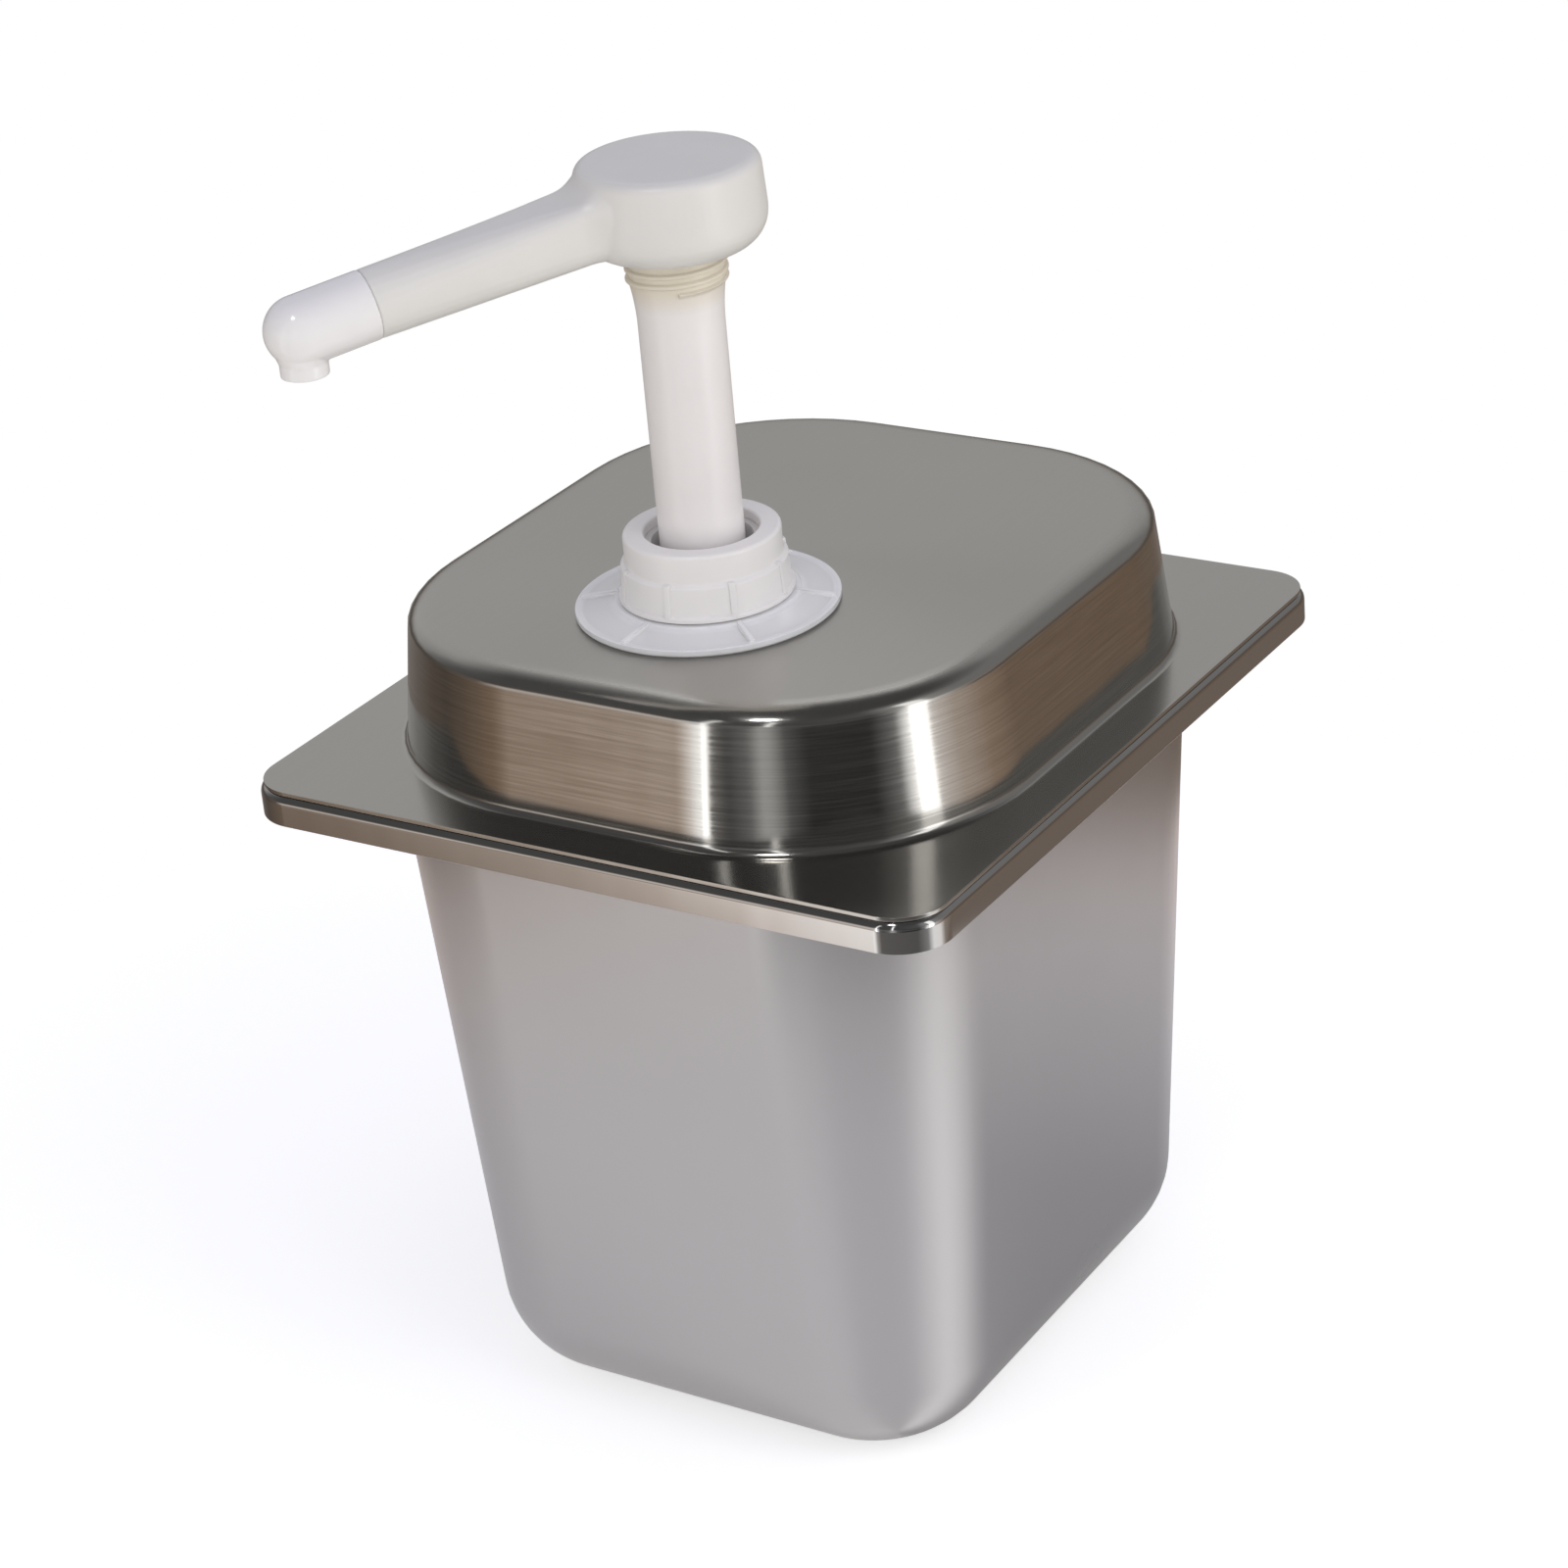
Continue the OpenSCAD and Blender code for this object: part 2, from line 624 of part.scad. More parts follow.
// Hollow stem: lower spigot, shaft, flare, lock-down neck and the spigot for the head
module stem() {
    r = stem_d / 2;
    bore_r = stem_bore_d / 2;
    foot_r = stem_foot_d / 2;
    lock_r = lock_d / 2;
    flare_top_r = lock_r - 0.1;
    lock_z = head_z - lock_l;
    // The flare is an arc that starts along the shaft and ends at the thread
    bow_r = (pow(flare_l, 2) + pow(flare_top_r - r, 2)) / (2 * (flare_top_r - r));
    flare = [
        for (k = [0:6])
            let (up = flare_l * k / 6)
            [r + bow_r - sqrt(pow(bow_r, 2) - pow(up, 2)), lock_z - flare_l + up]
    ];
    color(white) on_pump() rotate_extrude() polygon(concat(
        [[bore_r, socket_floor_z + face_gap], [foot_r, socket_floor_z + face_gap]],
        [[foot_r, stem_z], [r, stem_z]],
        flare,
        [[lock_r, lock_z], [lock_r, head_z], [stem_top_d / 2, head_z]],
        [[stem_top_d / 2, head_z + head_socket_l - face_gap]],
        [[bore_r, head_z + head_socket_l - face_gap]]
    ));
}

// One section of the spout across its axis, x from the pump's axis. At the head it is a
// rounded rectangle with a flat top, and it ends round at the tip's seam. Its sides run out
// along fillets that touch the head's wall. Its top rises along an arc about the pump's axis
// that meets the round edge of the head's top.
section_steps = 6;
spout_start_x = 12;
fillet_x = sqrt(pow(head_d / 2 + spout_fillet_r, 2) - pow(spout_root_w / 2 + spout_fillet_r, 2));
fillet_touch = fillet_x * head_d / 2 / (head_d / 2 + spout_fillet_r);
edge_out = head_top_d / 2 - head_edge_r;
edge_up = head_h - head_edge_r - spout_rise;
edge_x = edge_out * cos(spout_droop) - edge_up * sin(spout_droop);
edge_z = edge_out * sin(spout_droop) + edge_up * cos(spout_droop);
ramp_span = spout_ramp_r + head_edge_r;
ramp_reach = sqrt(pow(ramp_span, 2) - pow(spout_root_up + spout_ramp_r - edge_z, 2));
ramp_x = edge_x + ramp_reach;
ramp_touch = ramp_x - ramp_reach * spout_ramp_r / ramp_span;
function ramp(x, y) = run_out(spout_ramp_r, ramp_x, ramp_touch, norm([x, y]));
function blend(a, b, share) = a + (b - a) * share;
function run_out(r, end_x, touch, x) =
    x >= end_x ? 0 : r - sqrt(r * r - pow(end_x - max(x, touch), 2));
function spout_section(x) =
    let (share = max(0, (x - fillet_x) / (seam_x - fillet_x)),
         tip_r = spout_tip_d / 2,
         side = run_out(spout_fillet_r, fillet_x, fillet_touch, x),
         hw = blend(spout_root_w / 2, tip_r, share) + side,
         up = blend(spout_root_up, tip_r, pow(share, 1.4)),
         down = blend(spout_root_down, tip_r, share),
         top_r = min(blend(spout_root_edge_r, tip_r, pow(share, 0.8)) + 0.8 * side, hw, up),
         low_r = min(blend(spout_root_down - 2, tip_r, share), hw, down),
         flat = hw - top_r)
    [
        for (q = [0:3], k = [0:section_steps])
            let (a = 90 * (q + k / section_steps),
                 top = q < 2,
                 r = top ? top_r : low_r,
                 y = ((q == 0 || q == 3) ? 1 : -1) * (hw - r) + r * cos(a),
                 z = (top ? up - r : r - down) + r * sin(a))
            each concat(
                [[x, y, z + (top ? ramp(x, y) : 0)]],
                (q == 0 && k == section_steps)
                    ? [for (y = [flat / 2, 0, -flat / 2]) [x, y, up + ramp(x, y)]] : []
            )
    ];
function spout_places() = concat(
    [spout_start_x, (spout_start_x + ramp_touch) / 2],
    [for (k = [0:9]) blend(ramp_touch, max(ramp_x, fillet_x), k / 9)],
    [for (k = [1:6]) blend(max(ramp_x, fillet_x), seam_x, k / 6)]
);

// Push head: a thick disc with a rounded underside and the spout moulded on
module head() {
    r = head_d / 2;
    top_r = head_top_d / 2;
    belly_x = r - head_belly_r;
    belly_z = head_belly_r + 0.4;
    color(white) difference() {
        union() {
            on_pump(head_z) rotate_extrude() polygon(concat(
                [[0, 0], [lock_d / 2 + 0.6, 0]],
                arc(belly_x, belly_z, head_belly_r, -90, 0, 8),
                [[r, belly_z + 1]],
                arc(top_r - head_edge_r, head_h - head_edge_r, head_edge_r, 0, 90, 5),
                [[0, head_h]]
            ));
            along_spout() loft([for (x = spout_places()) spout_section(x)]);
            along_spout() translate([seam_x - 1, 0, 0]) rotate([0, 90, 0])
                cylinder(d = tip_spigot_d, h = tip_spigot_l + 1);
        }
        on_pump(head_z - 1) cylinder(d = stem_top_d, h = head_socket_l + 1);
        on_pump(head_z) cylinder(d = stem_bore_d, h = spout_rise);
        along_spout() rotate([0, 90, 0]) cylinder(d = spout_bore_d, h = seam_x + tip_spigot_l + 1);
    }
}

// Push-on tip: a round elbow with its mouth straight down
module nozzle_tip() {
    bore_r = spout_bore_d / 2;
    lip_h = 2.6;
    color(white) difference() {
        union() {
            along_spout() translate([seam_x, 0, 0]) rotate([0, 90, 0])
                cylinder(d = spout_tip_d, h = tip_l);
            along_spout() translate([spout_end, 0, 0]) sphere(d = spout_tip_d);
            on_pump(mouth_z - mouth_drop) rotate([0, 0, spout_azimuth]) translate([spout_reach, 0, 0]) {
                cylinder(d = mouth_d, h = lip_h);
                translate([0, 0, lip_h]) cylinder(d1 = mouth_d, d2 = mouth_d + 3, h = mouth_drop - lip_h - 2);
            }
        }
        along_spout() translate([seam_x - 1, 0, 0]) rotate([0, 90, 0])
            cylinder(d = tip_spigot_d + 2 * fit_gap, h = tip_spigot_l + face_gap + 1);
        along_spout() translate([seam_x - 1, 0, 0]) rotate([0, 90, 0])
            cylinder(d = spout_bore_d, h = tip_l + 1);
        along_spout() translate([spout_end, 0, 0]) sphere(r = bore_r);
        on_pump(mouth_z - mouth_drop - 1) rotate([0, 0, spout_azimuth]) translate([spout_reach, 0, 0])
            cylinder(d = mouth_bore_d, h = mouth_drop + 1);
    }
}

// Dip tube with its lower end cut at a slant
module dip_tube() {
    low = pan_sheet + dip_floor_gap;
    r = dip_d / 2;
    color(clear) on_pump(low) difference() {
        tube(dip_d, dip_d - 2 * dip_wall, socket_top_z - low - face_gap);
        translate([-r, 0, 0]) rotate([0, -dip_cut, 0]) translate([-2 * r, -2 * r, -4 * r])
            cube([8 * r, 4 * r, 4 * r]);
    }
}

pan();
lid();
mounting_plate();
lid_gasket();
lid_nut();
collar();
neck_gasket();
housing();
stem_guide();
stem_seal();
spring_seat();
return_spring();
piston();
piston_ring();
inlet_ball();
outlet_ball();
outlet_ball_stop();
stem();
head();
nozzle_tip();
dip_tube();
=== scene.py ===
import math
import bpy
from mathutils import Matrix, Vector


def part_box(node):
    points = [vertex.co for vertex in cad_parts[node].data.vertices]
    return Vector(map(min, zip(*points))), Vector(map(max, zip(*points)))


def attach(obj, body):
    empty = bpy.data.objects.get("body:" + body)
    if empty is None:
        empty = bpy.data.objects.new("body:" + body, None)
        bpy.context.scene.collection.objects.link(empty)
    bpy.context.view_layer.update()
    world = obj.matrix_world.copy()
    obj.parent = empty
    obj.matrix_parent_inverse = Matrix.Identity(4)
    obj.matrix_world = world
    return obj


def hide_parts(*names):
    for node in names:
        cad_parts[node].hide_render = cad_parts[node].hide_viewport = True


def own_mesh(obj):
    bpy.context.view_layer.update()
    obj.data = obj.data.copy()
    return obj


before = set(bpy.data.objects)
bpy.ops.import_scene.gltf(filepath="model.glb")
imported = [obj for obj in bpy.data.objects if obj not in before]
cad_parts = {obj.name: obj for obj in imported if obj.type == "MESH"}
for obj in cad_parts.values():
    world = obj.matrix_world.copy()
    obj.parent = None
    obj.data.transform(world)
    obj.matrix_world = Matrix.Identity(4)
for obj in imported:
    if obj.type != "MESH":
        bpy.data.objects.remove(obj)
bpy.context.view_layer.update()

# Camera. It looks down on the corner between the pan's front and right walls, with the
# lens and the slight tilt that the pan's straight edges in the photograph were solved to.
camera_place = (0.4458, -0.6803, 0.5202)
camera_turn = math.radians(33.54)
camera_rise = math.radians(25.79)
camera_tilt = math.radians(-5.13)
bpy.ops.object.camera_add(location=(0, 0, 0))
camera = bpy.context.object
camera.name = "photo_camera"
camera.data.lens = 96.86
camera.data.sensor_width = 36
camera.matrix_world = (
    Matrix.Translation(camera_place)
    @ Matrix.Rotation(camera_turn, 4, "Z")
    @ Matrix.Rotation(math.pi / 2 - camera_rise, 4, "X")
    @ Matrix.Rotation(camera_tilt, 4, "Z")
)
bpy.context.scene.camera = camera
bpy.context.scene.view_settings.view_transform = "Standard"


# Table. A round white board, pale enough to vanish in the white background, that still
# takes the pan's contact shadow. The steel sees its dark surroundings past its edge.
def linear(colour):
    parts = [int(colour[k:k + 2], 16) / 255 for k in (1, 3, 5)]
    return [p / 12.92 if p <= 0.04045 else ((p + 0.055) / 1.055) ** 2.4 for p in parts] + [1]


def node(tree, kind, values=None, stops=(), **settings):
    # adds a node with its settings, a colour ramp's stops, and its sockets' values and links
    made = tree.nodes.new(kind)
    for name, value in settings.items():
        setattr(made, name, value)
    for k, (place, colour) in enumerate(stops):
        keys = made.color_ramp.elements
        key = keys[k] if k < 2 else keys.new(place)
        key.position = place
        key.color = colour
    for socket, value in (values or {}).items():
        if isinstance(value, bpy.types.NodeSocket):
            tree.links.new(value, made.inputs[socket])
        else:
            made.inputs[socket].default_value = value
    return made


def empty_material(name):
    material = bpy.data.materials.new(name)
    material.use_nodes = True
    material.node_tree.nodes.clear()
    return material, material.node_tree


def grey(v, warm=0.0):
    return [v * (1 + 1.2 * warm), v, v * (1 - 0.85 * warm), 1]


table_radius = 0.30
bpy.ops.object.select_all(action="DESELECT")
bpy.ops.mesh.primitive_circle_add(vertices=128, radius=table_radius, fill_type="NGON")
table = bpy.context.object
table.name = "table"

board, tree = empty_material("white_laminate_board")
seen = node(tree, "ShaderNodeLightPath").outputs
seen_straight = node(tree, "ShaderNodeMath", {
    0: seen["Is Camera Ray"], 1: seen["Is Transmission Ray"]}, operation="MAXIMUM").outputs[0]
# The camera sees the board evenly white. The steel sees it glow with painted light, as if a
# window on the right lit it: by the bearing from the middle of the pan's front corner, as a
# share of the full turn that starts and ends at -X.
corner_middle = (0.046, -0.055, 0)
on_board = node(tree, "ShaderNodeTexCoord").outputs["Object"]
from_corner = node(tree, "ShaderNodeVectorMath", {
    0: on_board, 1: corner_middle}, operation="SUBTRACT").outputs[0]
across = node(tree, "ShaderNodeSeparateXYZ", {0: from_corner}).outputs
turn = node(tree, "ShaderNodeMath", {
    0: across["Y"], 1: across["X"]}, operation="ARCTAN2").outputs[0]
turn = node(tree, "ShaderNodeMapRange", {
    "Value": turn, "From Min": -math.pi, "From Max": math.pi}).outputs[0]
painted_window_glow = node(tree, "ShaderNodeValToRGB", {0: turn}, stops=[
    (0.0, grey(0.26)), (0.06, grey(0.36)), (0.09, grey(0.45)), (0.20, grey(0.47)),
    (0.24, grey(0.44)), (0.29, grey(0.33)), (0.38, grey(0.31)), (0.43, grey(0.34)),
    (0.485, grey(0.62)), (0.53, grey(0.84)), (0.57, grey(0.66)), (0.62, grey(0.36)),
    (0.68, grey(0.22)), (0.85, grey(0.26)), (1.0, grey(0.26))]).outputs[0]
# As the steel sees it, the painted glow and the board's colour are warmer farther out.
distance = node(tree, "ShaderNodeVectorMath", {
    0: from_corner}, operation="LENGTH").outputs["Value"]
far = node(tree, "ShaderNodeMapRange", {
    "Value": distance, "From Min": 0.10, "From Max": 0.34}).outputs[0]
hue = node(tree, "ShaderNodeValToRGB", {0: far}, stops=[
    (0.0, (1.0, 0.98, 0.975, 1)), (0.4, (1.0, 0.97, 0.95, 1)),
    (1.0, (1.0, 0.84, 0.72, 1))]).outputs[0]
# Painted shadow: close by on the right, the steel sees the board's glow and colour darkened,
# as if the pan kept the light off the board.
beside = node(tree, "ShaderNodeValToRGB", {0: turn}, stops=[
    (0.58, grey(0.0)), (0.65, grey(1.0)), (0.76, grey(1.0)), (0.84, grey(0.0))]).outputs[0]
shaded = node(tree, "ShaderNodeMapRange", {
    "Value": distance, "From Min": 0.12, "From Max": 0.25,
    "To Min": 0.70, "To Max": 1.15}).outputs[0]
shaded = node(tree, "ShaderNodeMix", {
    "Factor": beside, "A": 1.0, "B": shaded}, data_type="FLOAT").outputs[0]
hue = node(tree, "ShaderNodeMix", {
    "Factor": 1.0, "A": hue, "B": shaded},
    data_type="RGBA", blend_type="MULTIPLY").outputs["Result"]
painted_window_glow = node(tree, "ShaderNodeMix", {
    "Factor": 1.0, "A": painted_window_glow, "B": hue},
    data_type="RGBA", blend_type="MULTIPLY").outputs["Result"]
# Near its edge, as the steel sees it, the board's painted glow fades over 26 mm into a
# painted dim grey for the room behind, and its colour darkens.
fade_middle = (-0.015, -0.015, 0)
outward = node(tree, "ShaderNodeVectorMath", {
    0: on_board, 1: fade_middle}, operation="DISTANCE").outputs["Value"]
outward = node(tree, "ShaderNodeMapRange", {
    "Value": outward, "From Min": 0.266, "From Max": 0.292}).outputs[0]
painted_window_glow = node(tree, "ShaderNodeMix", {
    "Factor": outward, "A": painted_window_glow, "B": grey(0.215, 0.2)}, data_type="RGBA").outputs["Result"]
painted_window_glow = node(tree, "ShaderNodeMix", {
    "Factor": seen["Is Glossy Ray"], "A": grey(0.0), "B": painted_window_glow},
    data_type="RGBA").outputs["Result"]
glow = node(tree, "ShaderNodeMix", {
    "Factor": seen_straight, "A": painted_window_glow, "B": grey(0.54)}, data_type="RGBA").outputs["Result"]
dim = node(tree, "ShaderNodeMath", {
    0: outward, 1: seen["Is Glossy Ray"]}, operation="MULTIPLY").outputs[0]
paint = node(tree, "ShaderNodeMix", {
    "Factor": seen["Is Glossy Ray"], "A": linear("#F2F2F2"), "B": hue},
    data_type="RGBA", blend_type="MULTIPLY").outputs["Result"]
paint = node(tree, "ShaderNodeMix", {
    "Factor": dim, "A": paint, "B": linear("#101010")}, data_type="RGBA").outputs["Result"]
face = node(tree, "ShaderNodeBsdfPrincipled", {
    "Base Color": paint, "Roughness": 0.9, "Specular IOR Level": 0.1,
    "Emission Color": glow, "Emission Strength": 1.0}).outputs[0]
node(tree, "ShaderNodeOutputMaterial", {"Surface": face})
table.data.materials.append(board)

# Studio. The camera sees a white backdrop. The steel sees soft walls, dark on the camera's
# side and pale behind, a dim ceiling, and mixed surroundings below the table's edge.
world = bpy.data.worlds.new("studio")
bpy.context.scene.world = world
world.use_nodes = True
tree = world.node_tree
tree.nodes.clear()
looking = node(tree, "ShaderNodeTexCoord").outputs["Generated"]
towards = node(tree, "ShaderNodeSeparateXYZ", {0: looking}).outputs
bearing = node(tree, "ShaderNodeMath", {
    0: towards["Y"], 1: towards["X"]}, operation="ARCTAN2").outputs[0]
turn_share = node(tree, "ShaderNodeMapRange", {
    "Value": bearing, "From Min": -math.pi, "From Max": math.pi}).outputs["Result"]
height_share = node(tree, "ShaderNodeMapRange", {
    "Value": towards["Z"], "From Min": -1.0, "From Max": 1.0}).outputs["Result"]


# Bearings are counted from -180 to 180 degrees, with +X at 0 and the camera at -56.
def stop(bearing_deg, v, warm=0.0):
    return ((bearing_deg + 180) / 360, grey(v, warm))


# Heights are counted in degrees above the horizon.
def height_at(rise_deg):
    return (1 + math.sin(math.radians(rise_deg))) / 2


walls = node(tree, "ShaderNodeValToRGB", {0: turn_share}, stops=[
    stop(-180, 0.28), stop(-165, 0.16), stop(-145, 0.12), stop(-130, 0.11), stop(-95, 0.10),
    stop(-62, 0.10), stop(-28, 0.14), stop(-12, 0.46), stop(10, 0.40), stop(26, 0.30),
    stop(80, 0.30), stop(98, 0.50), stop(120, 0.60), stop(150, 0.64), stop(168, 0.50),
    stop(180, 0.28)]).outputs[0]
# What lies below is halved here and doubled further down, because a ramp's colours end at 1.
below = node(tree, "ShaderNodeValToRGB", {0: turn_share}, stops=[
    stop(-180, 0.06, 0.20), stop(-166, 0.05, 0.20), stop(-150, 0.075, 0.30),
    stop(-134, 0.115, 0.34), stop(-124, 0.22, 0.24), stop(-119, 0.33, 0.18),
    stop(-115, 0.56, 0.08), stop(-110, 0.98),
    stop(-107, 0.90), stop(-104.5, 0.12, 0.05), stop(-96, 0.05), stop(-86, 0.12),
    stop(-80, 0.34), stop(-76, 0.30), stop(-69, 0.08), stop(-58, 0.02), stop(-28, 0.02),
    stop(-16, 0.14), stop(-10, 0.95), stop(-4, 0.85), stop(4, 0.48, 0.06),
    stop(16, 0.27, 0.18), stop(34, 0.17, 0.28), stop(58, 0.09, 0.34), stop(90, 0.08, 0.26),
    stop(130, 0.17, 0.08), stop(180, 0.06, 0.20)]).outputs[0]
# Steeper down, where the rim's upright edge looks, the floor brightens towards its corner.
steep = node(tree, "ShaderNodeValToRGB", {0: turn_share}, stops=[
    stop(-180, 0.06, 0.20), stop(-134, 0.10, 0.30), stop(-130, 0.145, 0.26), stop(-128, 0.24, 0.19),
    stop(-126, 0.31, 0.17), stop(-125, 0.42, 0.13), stop(-124, 0.55, 0.10), stop(-123, 0.80, 0.05),
    stop(-118, 0.90), stop(-112, 0.30, 0.05), stop(-104, 0.10, 0.04), stop(-80, 0.09, 0.04),
    stop(-30, 0.08, 0.04), stop(-8, 0.20), stop(5, 0.75), stop(22, 0.70, 0.03),
    stop(34, 0.20, 0.15), stop(58, 0.115, 0.22), stop(90, 0.08, 0.22), stop(130, 0.10, 0.10),
    stop(180, 0.06, 0.20)]).outputs[0]
steep_share = node(tree, "ShaderNodeValToRGB", {0: height_share}, stops=[
    (height_at(-22), grey(1.0)), (height_at(-18), grey(0.0))]).outputs[0]
below = node(tree, "ShaderNodeMix", {
    "Factor": steep_share, "A": below, "B": steep}, data_type="RGBA").outputs["Result"]
# A pale strip at the height of the horizon draws the thin light lines along the bends.
strip = node(tree, "ShaderNodeValToRGB", {0: turn_share}, stops=[
    stop(-180, 0.06, 0.10), stop(-142, 0.08, 0.10), stop(-130, 0.38, 0.06), stop(-118, 0.50, 0.03),
    stop(-107, 0.48), stop(-103, 0.12), stop(-84, 0.12), stop(-80, 0.34), stop(-76, 0.30),
    stop(-69, 0.08), stop(-26, 0.06), stop(-14, 0.30), stop(-9, 0.95), stop(10, 0.40, 0.03),
    stop(28, 0.08, 0.06), stop(100, 0.06, 0.05), stop(180, 0.06, 0.10)]).outputs[0]
strip_share = node(tree, "ShaderNodeValToRGB", {0: height_share}, stops=[
    (height_at(-9), grey(0.0)), (height_at(-6), grey(1.0)),
    (height_at(2), grey(1.0)), (height_at(5), grey(0.0))]).outputs[0]
below = node(tree, "ShaderNodeMix", {
    "Factor": strip_share, "A": below, "B": strip}, data_type="RGBA").outputs["Result"]
below = node(tree, "ShaderNodeMix", {
    "Factor": 1.0, "A": below, "B": grey(2.0)},
    data_type="RGBA", blend_type="MULTIPLY").outputs["Result"]
ceiling_share = node(tree, "ShaderNodeValToRGB", {0: height_share}, stops=[
    (0.0, grey(0.0)), (height_at(40), grey(0.0)), (height_at(60), grey(1.0))]).outputs[0]
floor_share = node(tree, "ShaderNodeValToRGB", {0: height_share}, stops=[
    (height_at(4), grey(1.0)), (height_at(13), grey(0.0))]).outputs[0]
room = node(tree, "ShaderNodeMix", {
    "Factor": floor_share, "A": walls, "B": below}, data_type="RGBA").outputs["Result"]
room = node(tree, "ShaderNodeMix", {
    "Factor": ceiling_share, "A": room, "B": grey(0.09)}, data_type="RGBA").outputs["Result"]
mirrored = node(tree, "ShaderNodeBackground", {0: room, 1: 1.0}).outputs[0]
# The light that falls on matt faces comes from the same room, evened out: full from the
# camera's side and from below, half from behind, and dim and bluish from overhead.
round_light = node(tree, "ShaderNodeValToRGB", {0: turn_share}, stops=[
    stop(-180, 0.58), stop(-130, 0.80), stop(-90, 0.84), stop(-20, 0.88), stop(30, 0.90),
    stop(80, 0.62), stop(130, 0.56), stop(180, 0.58)]).outputs[0]
side_light = node(tree, "ShaderNodeValToRGB", {0: height_share}, stops=[
    (0.40, (1.0, 0.955, 0.89, 1)), (0.50, (1.0, 0.98, 0.95, 1)), (0.80, (0.95, 0.955, 1.0, 1)),
    (0.93, (0.42, 0.43, 0.59, 1))]).outputs[0]
even = node(tree, "ShaderNodeMix", {
    "Factor": 1.0, "A": round_light, "B": side_light},
    data_type="RGBA", blend_type="MULTIPLY").outputs["Result"]
lighting = node(tree, "ShaderNodeBackground", {0: even, 1: 1.0}).outputs[0]
backdrop = node(tree, "ShaderNodeBackground", {0: linear("#FFFFFF"), 1: 1.0}).outputs[0]
seen = node(tree, "ShaderNodeLightPath").outputs
seen_straight = node(tree, "ShaderNodeMath", {
    0: seen["Is Camera Ray"], 1: seen["Is Transmission Ray"]}, operation="MAXIMUM").outputs[0]
air = node(tree, "ShaderNodeMixShader", {
    0: seen["Is Glossy Ray"], 1: lighting, 2: mirrored}).outputs[0]
air = node(tree, "ShaderNodeMixShader", {0: seen_straight, 1: air, 2: backdrop}).outputs[0]
node(tree, "ShaderNodeOutputWorld", {"Surface": air})


# Softboxes. Upright boxes round the dome's front corner draw the pale bands on the bent
# steel, a lamp over the camera the small highlights, and one behind the sheen of the tops.
# The high box on the right lays the soft light on the plastic.
def softbox(name, bearing_deg, rise_deg, distance, width, height, brightness, aim):
    a, up = math.radians(bearing_deg), math.radians(rise_deg)
    away = Vector((math.cos(a) * math.cos(up), math.sin(a) * math.cos(up), math.sin(up)))
    place = Vector(aim) + away * distance
    bpy.ops.object.light_add(type="AREA", location=place)
    box = bpy.context.object
    box.name = name
    box.data.shape = "RECTANGLE"
    box.data.size = width
    box.data.size_y = height
    box.data.energy = brightness * math.pi * width * height
    box.rotation_mode = "QUATERNION"
    box.rotation_quaternion = (place - Vector(aim)).to_track_quat("Z", "Y")
    box.visible_camera = False
    return box


dome_front = (0.060, -0.070, 0.150)
softbox("softbox_right", -2, 12, 0.62, 0.12, 0.80, 1.6, dome_front)
softbox("softbox_left", -109, 12, 0.62, 0.036, 0.80, 1.9, dome_front)
softbox("softbox_slim", -78, 26, 0.62, 0.030, 0.44, 2.4, dome_front)
spout_end = (-0.01, -0.08, 0.22)
lamp = softbox("lamp_over_camera", -82, 60, 0.90, 0.12, 0.12, 28.0, spout_end)
lamp.visible_diffuse = False
dome_middle = (0, 0, 0.18)
key = softbox("softbox_high", -14, 38, 0.95, 0.45, 0.45, 1.4, dome_middle)
key.visible_glossy = False
pump_foot = (0, -0.03, 0.18)
back = softbox("softbox_back", 122, 45, 0.95, 0.40, 0.22, 1.1, pump_foot)
back.visible_diffuse = False

# Pan. One deep-drawn sheet of 0.8 mm stainless steel: a flat floor, walls that lean out
# upwards, and a rim that turns out flat and then down, trimmed to one height.
mm = 0.001
rim_width, rim_length = 162, 176
rim_top, rim_trim = 151, 144.2
rim_corner = 11
pan_sheet = 0.8
pan_edge_break = 0.12
floor_bend, floor_inset = 21.2, 43.4
shoulder_bend, shoulder_inset = 3.8, 10
rim_bend = 2
corner_segments = 14
lift = 0.05


def start_piece(name):
    bpy.ops.object.select_all(action="DESELECT")
    bpy.ops.mesh.primitive_plane_add(size=1)
    piece = bpy.context.object
    piece.name = name
    bpy.ops.object.mode_set(mode="EDIT")
    bpy.ops.mesh.select_mode(type="VERT")
    bpy.ops.mesh.delete(type="VERT")
    return piece


def sheet_ring(inset, height, corner, closed=False):
    # one rounded rectangle, joined to the ring before it; it is made high above its place
    # and let down once joined, because two rings at one height would be joined crossed
    middle = (0, 0, height * mm if closed else height * mm + lift)
    size = ((rim_width - 2 * inset) * mm, (rim_length - 2 * inset) * mm, 1)
    bpy.ops.mesh.primitive_plane_add(size=1, location=middle)
    bpy.ops.transform.resize(value=size, center_override=middle)
    bpy.ops.mesh.bevel(offset=corner * mm, segments=corner_segments, affect="VERTICES")
    if not closed:
        bpy.ops.mesh.delete(type="ONLY_FACE")
        bpy.ops.mesh.select_all(action="DESELECT")
        bpy.ops.mesh.select_non_manifold(extend=False)
        bpy.ops.mesh.bridge_edge_loops()
        bpy.ops.mesh.select_all(action="DESELECT")
        bpy.ops.mesh.select_non_manifold(extend=False)
        bpy.ops.transform.translate(value=(0, 0, -lift))


def bend(middle, middle_z, wide, high, first, last, steps, corner):
    # rings round a bend; the corner shrinks by as much as the inset grows
    for k in range(steps + 1):
        a = math.radians(first + (last - first) * k / steps)
        inset = middle + wide * math.cos(a)
        sheet_ring(inset, middle_z + high * math.sin(a), corner - inset)


